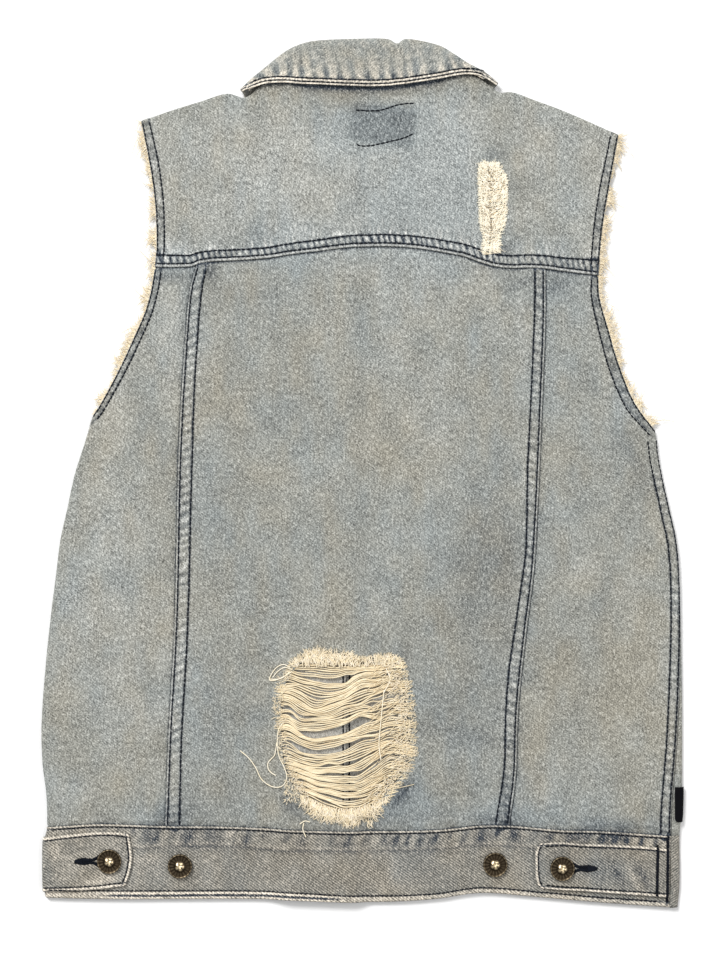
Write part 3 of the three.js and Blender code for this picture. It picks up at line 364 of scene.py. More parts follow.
# Slits between the thread bundles: py at ten stations across, and half the opening as (px, half)
SLIT_PX = (276, 288, 300, 315, 330, 345, 360, 375, 390, 414)
SLITS = [
    ((668, 664, 657, 655, 655, 657, 662, 663, 661, 662), ()),
    ((671, 667, 663, 664.5, 666, 664.6, 666, 667, 664, 664), ((325, 0), (338, 1.6), (345, 0))),
    ((674, 672, 675.5, 679, 681, 678.5, 672.8, 672.3, 669, 668),
     ((294, 0), (302, 0.5), (315, 2.6), (332, 2.6), (347, 3.6), (353, 0.6), (384, 0.2), (396, 0))),
    ((684, 681, 684, 689, 691.4, 688, 679, 678, 674.5, 672),
     ((305, 0.2), (320, 0.7), (345, 0.8), (352, 0.3), (380, 0), (389, 2.3), (396, 0))),
    ((693, 693, 700, 708.5, 704.5, 699.3, 690.5, 687.3, 683, 682),
     ((288, 0.3), (300, 0.5), (312, 0.3), (355, 0.1), (362, 0.9), (370, 0.5), (390, 0.3))),
    ((700, 700, 708.5, 713.8, 711.3, 705.8, 702.3, 694, 690.5, 691),
     ((288, 0.3), (300, 0.4), (330, 0.4), (345, 0.5), (352, 0.2), (366, 0.7), (372, 0))),
    ((708, 706, 714.5, 717, 716.3, 709.8, 706.3, 703.6, 701.5, 703),
     ((364, 0), (372, 2.4), (380, 0.2), (384, 0))),
    ((714, 712, 720, 721.3, 720.6, 716.9, 712, 710.3, 708.3, 711),
     ((287, 0), (293, 1.8), (299, 0.2), (340, 0.2), (348, 1.1), (356, 0.2))),
    ((724, 722, 730.8, 734, 732.6, 728.4, 721.8, 720, 716.5, 719),
     ((288, 0.2), (298, 0.3), (306, 2.6), (318, 3.4), (332, 3.6), (347, 4.6), (360, 4.2), (370, 1.6),
      (378, 0))),
    ((731, 730, 737.5, 741, 740, 737.5, 735.3, 732.3, 728, 729), ((360, 0.1), (372, 0.8), (379, 0))),
    ((741, 739, 747.5, 750.8, 750.6, 746.8, 740.4, 737.2, 733.5, 737),
     ((284, 0), (300, 2.9), (315, 2.2), (330, 3.1), (345, 3.1), (356, 1.9), (370, 0.8), (379, 0))),
    ((748, 748, 754, 757, 757.6, 754.5, 748.3, 744, 740, 746), ((356, 0.2), (368, 0.6), (380, 0.2))),
    ((757, 757, 762, 765.3, 765.5, 764.6, 759.3, 752, 744.5, 752),
     ((318, 0), (328, 1.9), (339, 0.3), (347, 2.1), (358, 1.4), (366, 0.6), (373, 1.2), (379, 0),
      (388, 0.6), (392, 0))),
    ((764, 764, 767.5, 772.8, 774.6, 774.5, 771.8, 763, 754, 758),
     ((312, 0.1), (330, 0.6), (343, 1.3), (355, 2.2), (365, 1.1), (374, 1.6), (382, 0.6), (392, 0))),
    ((770, 770, 773.5, 778.5, 782.5, 784, 782, 775.5, 766, 767), ((335, 0.1), (348, 0.5), (356, 0.1))),
    ((777, 777, 779, 784.5, 789, 791.6, 790.3, 784, 776, 776),
     ((330, 0.1), (345, 0.7), (356, 0.7), (362, 0))),
    ((783, 784, 785.5, 790, 796, 799, 798, 795, 788, 784),
     ((318, 0.2), (338, 0.7), (350, 0.6), (364, 0.1), (369, 0), (376, 1.9), (382, 0))),
    ((789, 790, 790, 795.5, 802.6, 806.8, 805.5, 800.5, 795, 790), ((312, 0.2), (326, 0.8), (333, 0.1))),
    ((795, 796, 797, 803, 809.5, 811, 809.3, 805, 799, 796), ()),
]
# Where the threads come out of the cloth: (py, px) on the left and on the right
RIP_LEFT = [
    (655, 296), (668, 290), (680, 280), (700, 276), (722, 277), (745, 280), (762, 285), (780, 292),
    (796, 303), (812, 314),
]
RIP_RIGHT = [
    (655, 399), (668, 405), (690, 411), (715, 415), (745, 416), (768, 411), (782, 402), (796, 390),
    (812, 376),
]

# Where the fray of the rip ends, above and below: (px, py)
FRAY_TOP = [
    (288, 668), (296, 656), (303, 651), (315, 646), (330, 648), (345, 650), (355, 654), (370, 655),
    (385, 652), (398, 655), (405, 664),
]
FRAY_LOW = [
    (298, 800), (308, 813), (322, 822), (335, 824), (350, 825), (362, 822), (372, 823), (380, 812),
    (390, 798),
]
# Sides of the worn-through strip on the yoke: (py, px)
STRIP_LEFT = [(163, 481), (172, 479), (200, 479.5), (225, 480.5), (238, 484), (246, 483), (254, 482)]
STRIP_RIGHT = [
    (163, 497), (172, 502), (180, 506), (204, 506), (225, 504), (238, 499), (246, 500), (254, 501),
]
# The brushes at its upper and lower end: left px, py, middle px, which way is up, lengths in mm
STRIP_BRUSHES = [(482, 166, 490, 1, 1.4, 3.0), (485, 246.5, 491.5, -1, 3.0, 6.2)]
# Single threads that hang out of the rip: (px, py)
LOOSE_THREADS = [
    [(240, 750.5), (248.4, 757.5), (256, 768), (261, 778.5), (268, 784.5), (275, 787), (283, 785),
     (287, 777), (285, 768), (279, 755), (277.5, 740), (279, 728), (283, 722)],
    [(277, 742), (274.5, 755), (271, 759), (268, 763), (268.5, 769), (272, 773), (276, 775)],
    [(290, 667), (284, 664), (277, 667), (271, 675), (269.5, 680), (275, 680), (284, 676), (292, 671)],
    [(292, 669), (285, 667), (278, 671), (273, 677)], [(270, 679), (276, 679), (283, 677), (290, 671)],
    [(304, 822), (303, 828), (306, 836)], [(300, 823), (305, 820), (310, 821)],
    [(384, 690), (381, 720), (379, 745), (381, 760)], [(386, 668), (390, 680), (384, 692)],
]

BACK_BUTTONS = {
    "button_tab_left": (109.8, 860.7),
    "button_spare_left": (180.1, 865.9),
    "button_spare_right": (495.1, 864.4),
    "button_tab_right": (561.9, 867.8),
}

# Tab outlines: the top edge, the bottom edge and the free end between them
TABS = {
    "left": {
        "top": [(41.4, 837.2), (68, 834), (96, 831.4), (110, 831.2), (124, 832.4), (129.3, 834)],
        "bottom": [(41.4, 891.6), (68, 890.9), (96, 889.3), (112, 887.4), (121, 886.3), (125.6, 885.2)],
        "end": [(129.3, 834), (131.6, 846), (132.6, 857), (130.6, 871), (125.6, 885.2)],
    },
    "right": {
        "top": [(540.6, 842.8), (560, 841.5), (582.9, 843), (616.6, 844), (650, 846), (669, 848.4)],
        "bottom": [(541.6, 888), (560, 889.8), (582.9, 891), (616.6, 893.6), (650, 896), (669, 897.5)],
        "end": [(540.6, 842.8), (536.6, 846.5), (534.9, 853), (534.6, 865), (535.2, 877), (537.4, 884.5),
                (541.6, 888)],
    },
}
TAB_WRAP = 3.9

# The label patch of the yoke: the stitched upper and lower side, (px, py)
PATCH_SIDES = [
    [(355.3, 110.4), (378.3, 110.7), (388.5, 108.5), (397.4, 105.3), (414, 103.7)],
    [(413.3, 134), (405, 137.8), (391, 141.7), (368.7, 146), (359, 145.8), (356.3, 144.2)],
]


# Curves, heights and noise, all on arrays and in millimetres


def smooth(t):
    c = np.clip(t, 0.0, 1.0)
    return c * c * (3.0 - 2.0 * c)


def plateau(value, low, high, ramp):
    """1 between low and high, falling to 0 over the ramp outside them."""
    return smooth((value - low) / ramp + 1) * smooth((high - value) / ramp + 1)


def bell(value, middle, half):
    return np.exp(-(((value - middle) / half) ** 2))


def mottle(x, y, size, seed):
    """Smooth noise from -1 to 1 whose lumps are about one size wide."""
    cells, far = 61, 500
    table = np.random.RandomState(seed).uniform(-1, 1, (cells, cells))
    gx, gy = np.asarray(x) / size + far, np.asarray(y) / size + far
    i, j = np.floor(gx).astype(int), np.floor(gy).astype(int)
    fx, fy = smooth(gx - i), smooth(gy - j)

    def corner(a, b):
        return table[(i + a) % cells, (j + b) % cells]

    low = corner(0, 0) * (1 - fx) + corner(1, 0) * fx
    high = corner(0, 1) * (1 - fx) + corner(1, 1) * fx
    return low * (1 - fy) + high * fy


def to_x(px):
    return (px - ORIGIN_PX[0]) * MM_PER_PX


def to_y(py):
    return (ORIGIN_PX[1] - py) * MM_PER_PX


def to_mm(rows):
    px, py = np.asarray(rows, float).T
    return np.column_stack((to_x(px), to_y(py)))


def curve_px(rows):
    """A smooth line through places in the photo."""
    return curve(to_mm(rows))


def hermite(t):
    """Weights of a cubic step: its start, the slope there, its end and the slope there."""
    return 2 * t**3 - 3 * t**2 + 1, t**3 - 2 * t**2 + t, 3 * t**2 - 2 * t**3, t**3 - t**2


def curve(points):
    """A smooth line through points, as a function of the share of its length."""
    ends = np.vstack((2 * points[0] - points[1], points, 2 * points[-1] - points[-2]))
    start, start_slope, end, end_slope = hermite(np.linspace(0, 1, 24, endpoint=False)[:, None])
    runs = []
    for a, b, c, d in zip(ends, ends[1:], ends[2:], ends[3:]):
        k0, k1, k2 = (max(1e-3, np.linalg.norm(p - q)) ** 0.5 for p, q in ((a, b), (b, c), (c, d)))
        m1 = ((b - a) / k0 - (c - a) / (k0 + k1) + (c - b) / k1) * k1
        m2 = ((c - b) / k1 - (d - b) / (k1 + k2) + (d - c) / k2) * k1
        runs.append(start * b + start_slope * m1 + end * c + end_slope * m2)
    return polyline(np.vstack(runs + [points[-1:]]))


def polyline(line):
    """A line of many short steps, as a function of the share of its length."""
    along = np.concatenate(([0], np.cumsum(np.linalg.norm(np.diff(line, axis=0), axis=1))))

    def at(t):
        s = np.clip(t, 0, 1) * along[-1]
        return np.column_stack([np.interp(s, along, line[:, k]) for k in range(line.shape[1])])

    return at


def length_of(run):
    steps = np.diff(run(np.linspace(0, 1, 400)), axis=0)
    return float(np.linalg.norm(steps, axis=1).sum())


def through(rows):
    """A smooth function through rows of (key, value), whose keys rise or fall steadily."""
    rows = np.asarray(sorted(rows), float)
    keys, values = rows[:, 0], rows[:, 1]
    low, high = np.maximum(np.arange(len(keys)) - 1, 0), np.minimum(np.arange(len(keys)) + 1, len(keys) - 1)
    slopes = (values[high] - values[low]) / (keys[high] - keys[low])

    def at(key):
        key = np.asarray(key, float)
        i = np.clip(np.searchsorted(keys, key) - 1, 0, len(keys) - 2)
        span = keys[i + 1] - keys[i]
        start, start_slope, end, end_slope = hermite(np.clip((key - keys[i]) / span, 0, 1))
        inner = start * values[i] + start_slope * span * slopes[i]
        inner = inner + end * values[i + 1] + end_slope * span * slopes[i + 1]
        before, after = np.minimum(key - keys[0], 0), np.maximum(key - keys[-1], 0)
        return inner + before * slopes[0] + after * slopes[-1]

    return at


def edge_at(rows):
    """x as a function of y, from a (py, px) table."""
    return through([(to_y(py), to_x(px)) for py, px in rows])


collar_edge_at = through([(to_x(px), to_y(py)) for px, py in COLLAR_EDGE])
fold_left = edge_at(FOLD_LEFT)
fold_right = edge_at(FOLD_RIGHT)
seam_right = edge_at(SEAM_RIGHT)


def between(f, py_top, py_bottom):
    """The line x = f(y) between two heights of the photo."""

    def at(t):
        y = to_y(py_top + (py_bottom - py_top) * np.asarray(t, float))
        return np.column_stack((f(y), y))

    return at


def in_turn(*parts):
    """Lines one after another, each with its share of the whole."""

    def at(t):
        t = np.asarray(t, float)
        out = np.zeros((len(t), 2))
        start = 0.0
        for share, run in parts:
            mask = (t >= start - 1e-9) & (t <= start + share + 1e-9)
            out[mask] = run((t[mask] - start) / share)
            start += share
        return out

    return at


def part(run, t0, t1):
    return lambda t: run(t0 + (t1 - t0) * np.asarray(t, float))


def where_x(run, x):
    """The share of a line at which its x passes the given one."""
    t = np.linspace(0, 1, 4001)
    return float(t[np.argmin(np.abs(run(t)[:, 0] - x))])


def line_between(a, b):
    a, b = np.asarray(a, float), np.asarray(b, float)
    return lambda t: a + (b - a) * np.asarray(t, float)[:, None]


def below_neck(y):
    return smooth((LAP_TOP + LEAF_RAMP - y) / LEAF_RAMP)


def lift(x, y):
    """How far the collar's front leaves and the front buttons hold the fronts off the floor."""
    leaves = plateau(x, -98, -12, LEAF_RAMP) + plateau(x, 20, 108, LEAF_RAMP)
    leaf_lift = LEAF_LIFT * np.minimum(1, leaves) * smooth((y - 162) / LEAF_RAMP)
    front_lift = FRONT_LIFT * plateau(x, LAP_LEFT - 2, LAP_RIGHT + 2, 14) * below_neck(y)
    return np.maximum(leaf_lift, front_lift)


def lap_height(x, y):
    return (CLOTH + LAP_GAP) * plateau(x, LAP_LEFT - 8, LAP_RIGHT + 6, 14) * below_neck(y)


def lap_climb(x):
    return (CLOTH + LAP_GAP) * smooth((x - LAP_LEFT + 16) / 12)


def fold_height(x, y):
    """Height of the soft folds and the cloth's own unevenness, nothing at the side folds."""
    height = 0.30 * mottle(x, y, 46, 3) + 0.16 * mottle(x + 0.4 * y, y, 19, 4) + 0.05 * mottle(x, y, 8, 5)
    for px, py, degrees, length, width, fold in FOLDS:
        turn = math.radians(degrees)
        dx, dy = x - to_x(px), y - to_y(py)
        along = (dx * math.cos(turn) + dy * math.sin(turn)) / length
        across = (dy * math.cos(turn) - dx * math.sin(turn)) / width
        height = height + fold * np.exp(-4 * along**2 - across**2)
    edge = np.minimum(x - fold_left(y), fold_right(y) - x)
    return height * smooth((edge - 4) / 16)


def shoulder(side, neck_px, rows):
    height = through([(to_x(px), to_y(py)) for px, py in rows])

    def out_at(x):
        slope = np.column_stack((height(x - 2) - height(x + 2), np.full(np.shape(x), 4.0)))
        return slope / np.linalg.norm(slope, axis=1)[:, None]

    return side, to_x(neck_px), height, out_at


SHOULDERS = [shoulder(-1, 237, SHOULDER_LEFT), shoulder(1, 501, SHOULDER_RIGHT)]


def over_fold(reach, rise, layer):
    """The rounded turn at a side or a shoulder: how far out and how high."""
    angle = np.minimum(np.pi, reach / FOLD_RADIUS)
    radius = FOLD_RADIUS + rise * np.cos(angle / 2) ** 2
    past = np.maximum(0, reach - np.pi * FOLD_RADIUS)
    return radius * np.sin(angle) - past, layer * radius * np.cos(angle)


def place(flat, layer, rise=0.0, climb=None):
    """Lays unrolled points on the garment. Layer 1 is the back, coming down at the folds, and
    -1 the fronts, coming up. rise stands up from the cloth's outer face."""
    x, y = flat[:, 0], flat[:, 1]
    rise = np.broadcast_to(rise, x.shape)
    floor = lift(x, y)
    if layer > 0:
        z = floor + BACK_FACE + lap_height(x, y) + fold_height(x, y) + rise
    else:
        z = floor + (climb(x) if climb else 0) - rise
    out = np.column_stack((x, y, z))
    for side, fold in ((-1, fold_left), (1, fold_right)):
        flat_end = fold(y) - side * FOLD_RADIUS
        reach = side * (x - flat_end)
        mask = (reach > 0) & (y < to_y(FOLDS_BEGIN_PY))
        turn_out, turn_up = over_fold(reach[mask], rise[mask], layer)
        out[mask, 0] = flat_end[mask] + side * turn_out
        out[mask, 2] = floor[mask] + FOLD_RADIUS + turn_up
    for side, neck_x, height, out_at in SHOULDERS:
        outward = out_at(x)
        reach = (y - height(x)) * outward[:, 1] + FOLD_RADIUS
        mask = (side * (x - neck_x) > 0) & (reach > 0)
        turn_out, turn_up = over_fold(reach[mask], rise[mask], layer)
        shift = (turn_out - reach[mask])[:, None] * outward[mask]
        out[mask, :2] = flat[mask] + shift
        out[mask, 2] = floor[mask] + FOLD_RADIUS + turn_up
    return out


def bars(s, d, seed, pitch, slant=0.3, bias=0.25):
    """Puckers at an uneven pitch along a seam: 1 where they are light, -1 where they are dark."""
    phase = (s + slant * d) / pitch + 0.55 * mottle(s, 0, 2.7 * pitch, seed)
    depth = 0.8 + 0.5 * mottle(s, 0, 4.3 * pitch, seed + 7)
    wave = np.cos(2 * np.pi * phase) + bias + 0.45 * mottle(s, d, 0.5 * pitch, seed + 8)
    return np.clip(1.15 * depth * wave, -1, 1)


def halves(wave):
    """The light and the dark half of a wave, each from 0 to 1."""
    return np.clip(wave, 0, 1), np.clip(-wave, 0, 1)


def fade(d, length):
    return np.exp(-np.clip(d, 0, None) / length)


# Seam features. Each takes the distance from a panel's side and the run along it, and gives the
# height, the wear and the darkening that it adds, kept indigo and painted shade together.


def lap_seam(d, s, t, seed, rows, pitch, pale, dark, bias, height=0.9, pucker=0.45, fuzz=0.5):
    """A felled seam seen from its folded edge: a worn bead, two stitched grooves, puckers between."""
    near, far = row_at(rows[0], t), row_at(rows[1], t)
    beat = bars(s, d, seed, pitch, 0.35, bias)
    light, deep = halves(beat)
    band = np.sin(np.pi * np.clip((d - near) / (far - near), 0, 1)) ** 0.4
    past = smooth((d - far) / 0.8) * fade(d - far, 4.0)
    body = smooth(d / 0.9 + 0.3) * (1 - smooth((d - far - 0.2) / 2.2))
    groove = bell(d, near, 0.75) + bell(d, far, 0.75)
    rise = height * body - 0.32 * groove + pucker * beat * band + 0.5 * pucker * beat * past
    bead = smooth((d + 0.1) / 0.5) * (1 - smooth((d - near + 1.0) / 0.6))
    wear = pale * bead * (0.85 + 0.15 * beat) + pale * 0.8 * light * band
    streak = np.clip(0.35 + 1.3 * mottle(s, 0.15 * d, 1.5, seed + 21), 0, 1)
    wear = wear + fuzz * pale * past**0.6 * streak * (0.35 + 0.65 * light)
    # The stitched grooves are darkened by painted shade; the pucker valleys keep their indigo
    dye = dark * deep * band + 1.15 * groove + 0.25 * dark * deep * past
    return rise, wear, dye


def tucked(d, s, t, seed):
    """Cloth that goes in under a neighbour's folded edge."""
    rise = -0.75 * (1 - smooth((d - 0.3) / 3.6))
    # Painted shadow along the neighbour's folded edge
    shade = 0.95 * (1 - smooth((d - 0.1) / 1.1))
    patch = halves(mottle(s, 0, 9, seed))[0] * fade(d, 5.0)
    return rise, 0 * d, shade + 0.35 * patch


def raw_hem(d, s, t, seed, rows):
    """A cut edge held by two rows of stitching."""
    near, far = row_at(rows[0], t), row_at(rows[1], t)
    beat = np.clip(1.7 * mottle(s, 0, 2.0, seed), -1, 1)
    light, deep = halves(beat)
    band = np.sin(np.pi * np.clip((d - near) / (far - near), 0, 1)) ** 0.5
    groove = bell(d, near, 0.6) + bell(d, far, 0.6)
    past = smooth((d - far) / 0.8) * fade(d - far, 4.0)
    rise = 0.45 * (1 - smooth((d - far) / 2)) - 0.28 * groove + 0.24 * beat * band + 0.1 * beat * past
    rise = rise - 0.4 * (1 - smooth((d + 0.4) / 0.9))
    wear = 0.35 * light * band + 0.45 * (1 - smooth(d / 0.8)) + 0.15 * past
    # Painted shade in the two stitched grooves
    dye = 0.40 * deep * band + 0.8 * groove + 0.12 * band
    return rise, wear, dye


def bead_edge(d, s, t, seed, pale, row=2.7, height=0.25, start=0.0):
    """A turned edge with one row of stitching: a worn bead outside the stitches."""
    row = row_at(row, t)
    beat = mottle(s, 0, 1.6, seed)
    bead = smooth((d - start + 0.2) / 0.7) * (1 - smooth((d - row + 0.9) / 0.6))
    rise = height * bead - 0.35 * bell(d, row, 0.5) - 0.5 * (1 - smooth((d + 0.5) / 1.1))
    rise = rise + 0.08 * beat * bead
    rise = rise + 0.12 * halves(beat)[0] * smooth((d - row) / 1.0) * fade(d - row, 4)
    wear = pale * bead * (0.85 + 0.15 * beat)
    # Painted shade in the stitched groove, and with start a painted shadow line along the outer edge
    dye = 0.9 * bell(d, row + 0.1, 0.6) + 0.3 * start * bell(d, 0, 0.6)
    return rise, wear, dye


def band_marks(d, s, t, seed):
    """The waistband's inner seam allowance pressing through: blue scallops over a faint ridge."""
    line = 13.8 + 1.6 * mottle(s, 0, 34, seed)
    beat = bars(s, d, seed + 1, 11.5, 0.25, 0.1)
    light, deep = halves(beat)
    scallop = deep * np.clip(0.8 + 0.8 * mottle(s, 0, 60, seed + 2), 0, 1)
    long = 7.5 + 3.5 * mottle(s, 0, 9, seed + 3)
    inside = smooth((d - 2.2) / 1.6) * (1 - smooth((d - long) / 6.0))
    ridge = bell(d, line, 1.3)
    allowance = smooth((d - 2.6) / 1.6) * (1 - smooth((d - line) / 2.0))
    rise = 0.30 * allowance + 0.2 * ridge - 0.28 * scallop * inside
    wear = 0.16 * ridge * (1 - 0.5 * scallop) + 0.16 * inside * light
    # The scallops keep their indigo; the darker line just past the ridge is painted shade
    dye = 1.2 * scallop * inside * (0.8 + 0.4 * mottle(s, d, 2.5, seed + 4)) + 0.45 * bell(d, line + 1.6, 0.9)
    return rise, wear, dye


def second_edge(d, s, t, seed):
    """The front's folded edge showing below the back's: a dark line between two worn beads."""
    uneven = 0.12 * mottle(s, 0, 12, seed)
    wear = 0.75 * bell(d, 1.1 + uneven, 0.9) + 0.85 * bell(d, 3.9 + uneven, 0.9)
    return -0.45 * bell(d, 2.4 + uneven, 0.5), wear, 2.3 * bell(d, 2.5 + uneven, 0.7)


def row_at(row, t):
    """The distance of a row from its edge: one number, or rows of (share of the edge, distance)."""
    return row if isinstance(row, (int, float)) else np.interp(t, *zip(*row))


def cut_of(outline):
    """Size and area of a panel's unrolled cut, in metres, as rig.sheet takes them."""
    t = np.linspace(0, 1, 200)
    ways = (("top", t), ("right", t), ("bottom", 1 - t), ("left", 1 - t))
    ring = np.vstack([outline[side](share) for side, share in ways])
    x, y = ring.T
    area = abs(x @ np.roll(y, -1) - y @ np.roll(x, -1)) / 2
    return {"flat": tuple(max(0.01, float(np.ptp(k)) * MM) for k in (x, y)), "area": float(area) * MM * MM}


def surface_at(x, y):
    """Height of the back's outer face, away from the folds."""
    return lift(x, y) + BACK_FACE + lap_height(x, y) + fold_height(x, y)


def bump_sum(rows, x, y):
    """Adds up soft spots: middle and half sizes in px, turn in degrees, amount and, at will, a power."""
    total = 0 * x
    for px, py, half_x, half_y, turn, amount, *power in rows:
        a, n = math.radians(turn), power[0] if power else 2
        dx, dy = (x - to_x(px)) / MM_PER_PX, (y - to_y(py)) / MM_PER_PX
        u = np.abs(dx * math.cos(a) + dy * math.sin(a)) / half_x
        v = np.abs(dy * math.cos(a) - dx * math.sin(a)) / half_y
        total = total + amount * np.exp(-(u**n) - v**n)
    return total


def washed_and_shaded(x, y):
    """Wear, dye and hue of the hand-placed patches and of the broad wash."""
    total = 0.05 * mottle(x, y, 70, 11) + 0.05 * mottle(x, y, 26, 12) + 0.05 * mottle(x, y, 11, 13)
    total = total + 0.05 * mottle(x, 0.3 * y, 7, 14)
    total = total + bump_sum(DYE_AND_SHADE_PATCHES, x, y)
    # Painted shadow below the collar's edge: the cloth there turns darker and warmer, most in the middle
    below_collar = collar_edge_at(x) - y
    shadow_zone = plateau(x, -78, 88, 8)
    deepest = 0.6 + 0.6 * plateau(x, -30, 45, 26)
    total = total - shadow_zone * deepest * (
        1.25 * np.exp(-np.abs(below_collar) / 2.2) + 0.42 * np.exp(-np.abs(below_collar) / 7)
    )
    hue = bump_sum([(px, py, hx, hy, 0, amount) for px, py, hx, hy, amount in HUE_PATCHES], x, y)
    hue = hue - 1.6 * shadow_zone * np.exp(-np.abs(below_collar) / 7)
    hue = hue + 0.45 * mottle(x, 0.45 * y, 21, 15) + 0.45 * mottle(x, 0.5 * y, 8, 16)
    return np.clip(total, 0, None), np.clip(-total, 0, None), hue


# Meshes


def stations(length, step, start=0.0, end=0.0, fine=0.9, tuck_start=0.0, tuck_end=0.0, extra=()):
    """Stations across a panel: shares of its width, and mm past its edges. start and end are
    how far from either edge the steps stay fine."""
    middle = max(1, round((length - start - end) / step))
    marks = [start + (length - start - end) * k / middle for k in range(middle + 1)]
    head = list(np.linspace(0, start, max(1, round(start / fine)) + 1)[:-1]) if start else []
    tail = list(np.linspace(length - end, length, max(1, round(end / fine)) + 1)[1:]) if end else []
    shares = sorted({round(m / length, 6) for m in head + marks + tail} | set(extra))
    t, out = list(shares), [0.0] * len(shares)
    if tuck_start:
        t, out = [0.0, 0.0] + t, [-tuck_start, -tuck_start / 2] + out
    if tuck_end:
        t, out = t + [1.0, 1.0], out + [tuck_end / 2, tuck_end]
    return np.array(t), np.array(out)


def patch_point(outline, u, v):
    top, bottom, left, right = (outline[k] for k in ("top", "bottom", "left", "right"))
    zero, one = np.zeros_like(u), np.ones_like(u)
    uu, vv = u[:, None], v[:, None]
    flat = top(u) * (1 - vv) + bottom(u) * vv + left(v) * (1 - uu) + right(v) * uu
    flat -= top(zero) * (1 - uu) * (1 - vv) + top(one) * uu * (1 - vv)
    return flat - bottom(zero) * (1 - uu) * vv - bottom(one) * uu * vv


def grid_mesh(columns, rows):
    """A flat grid, with the column and the row of every vertex."""
    bm = bmesh.new()
    bmesh.ops.create_grid(bm, x_segments=columns - 1, y_segments=rows - 1, size=0.5)
    if len(bm.verts) != columns * rows:
        raise RuntimeError(f"the grid has {len(bm.verts)} points, not {columns * rows}")
    place_of = np.array([(v.co.x, v.co.y) for v in bm.verts])
    i = np.rint((place_of[:, 0] + 0.5) * (columns - 1)).astype(int)
    j = np.rint((0.5 - place_of[:, 1]) * (rows - 1)).astype(int)
    return bm, i, j


def new_piece(name, mesh):
    """An object at the origin, linked to the scene."""
    piece = bpy.data.objects.new(name, mesh)
    bpy.context.scene.collection.objects.link(piece)
    return piece


def paint(mesh, key, values):
    """Stores one number for each point, for the materials."""
    mesh.attributes.new(key, "FLOAT", "POINT").data.foreach_set("value", values.astype(np.float32))


def add_wall(piece, thickness):
    """Thickens cloth below its outer face, by mm."""
    wall = piece.modifiers.new("Wall", "SOLIDIFY")
    wall.thickness = thickness * MM
    wall.offset = -1
    return wall


def cut_rip(bm):
    """Takes out the faces in the rip and lays the edge of the hole on its line."""
    gone = [f for f in bm.faces if in_rip(f.calc_center_median())]
    bmesh.ops.delete(bm, geom=gone, context="FACES")
    ring = curve_px([*RIP_HOLE, RIP_HOLE[0]])(np.linspace(0, 1, 500))
    middle = ring.mean(axis=0)
    for vert in bm.verts:
        flat_at = np.array(vert.co[:2]) / MM
        if vert.is_boundary and np.linalg.norm(flat_at - middle) < RIP_REACH:
            spot = ring[np.argmin(np.linalg.norm(ring - flat_at, axis=1))]
            vert.co.x, vert.co.y = (spot + 0.5 * mottle(*spot, 2.2, 22)) * MM


def finish_cloth(name, bm, points, flat, tones, layer, thickness=None, ripped=False):
    """Turns a grid into a thin closed piece of cloth whose UV map is the unrolled cloth."""
    mesh = bpy.data.meshes.new(name)
    for vert, co in zip(bm.verts, points * MM):
        vert.co = co
    bm.to_mesh(mesh)
    bm.free()
    uv = mesh.uv_layers.new(name="cloth")
    corners = np.zeros(len(mesh.loops), int)
    mesh.loops.foreach_get("vertex_index", corners)
    uv.data.foreach_set("uv", (flat[corners] * MM).ravel())
    for key, values in zip(("wear", "dye", "hue"), tones):
        paint(mesh, key, np.clip(values, -2, 2))
    bm = bmesh.new()
    bm.from_mesh(mesh)
    bm.normal_update()
    facing = sum(f.normal.z * f.calc_area() for f in bm.faces)
    if facing * layer < 0:
        bmesh.ops.reverse_faces(bm, faces=bm.faces[:])
    if ripped:
        cut_rip(bm)
    for face in bm.faces:
        face.smooth = True
    bm.to_mesh(mesh)
    bm.free()
    piece = new_piece(name, mesh)
    if thickness:
        add_wall(piece, thickness).material_offset = 1
    return piece


def make_panel(name, outline, layer, us, vs, features, thickness, climb=None, raise_by=0.0, ripped=False):
    """One cut panel. features name a side, a seam function and its settings."""
    (u, u_out), (v, v_out) = us, vs
    bm, i, j = grid_mesh(len(u), len(v))
    u, v, over_x, over_y = u[i], v[j], u_out[i], -v_out[j]
    flat = patch_point(outline, u, v)
    zero, one = np.zeros_like(u), np.ones_like(u)
    ends = {
        "left": (patch_point(outline, zero, v), v, -over_x),
        "right": (patch_point(outline, one, v), v, over_x),
        "top": (patch_point(outline, u, zero), u, over_y),
        "bottom": (patch_point(outline, u, one), u, -over_y),
    }
    flat_out = flat + np.column_stack((over_x, over_y))
    wear, dye, hue = washed_and_shaded(flat[:, 0], flat[:, 1])
    totals = [np.full(len(u), float(raise_by)), wear, dye]
    for side, seam, settings in features:
        settings = dict(settings)
        edge, t, past = ends[side]
        weight = settings.pop("where", lambda share: 1.0)(t)
        d = np.linalg.norm(flat - edge, axis=1) - np.clip(past, 0, None)
        added = seam(d, t * length_of(outline[side]), t, **settings)
        totals = [total + values * weight for total, values in zip(totals, added)]
    rise, wear, dye = totals
    points = place(flat_out, layer, rise, climb)
    return finish_cloth(name, bm, points, flat_out, (wear, dye, hue), layer, thickness, ripped)


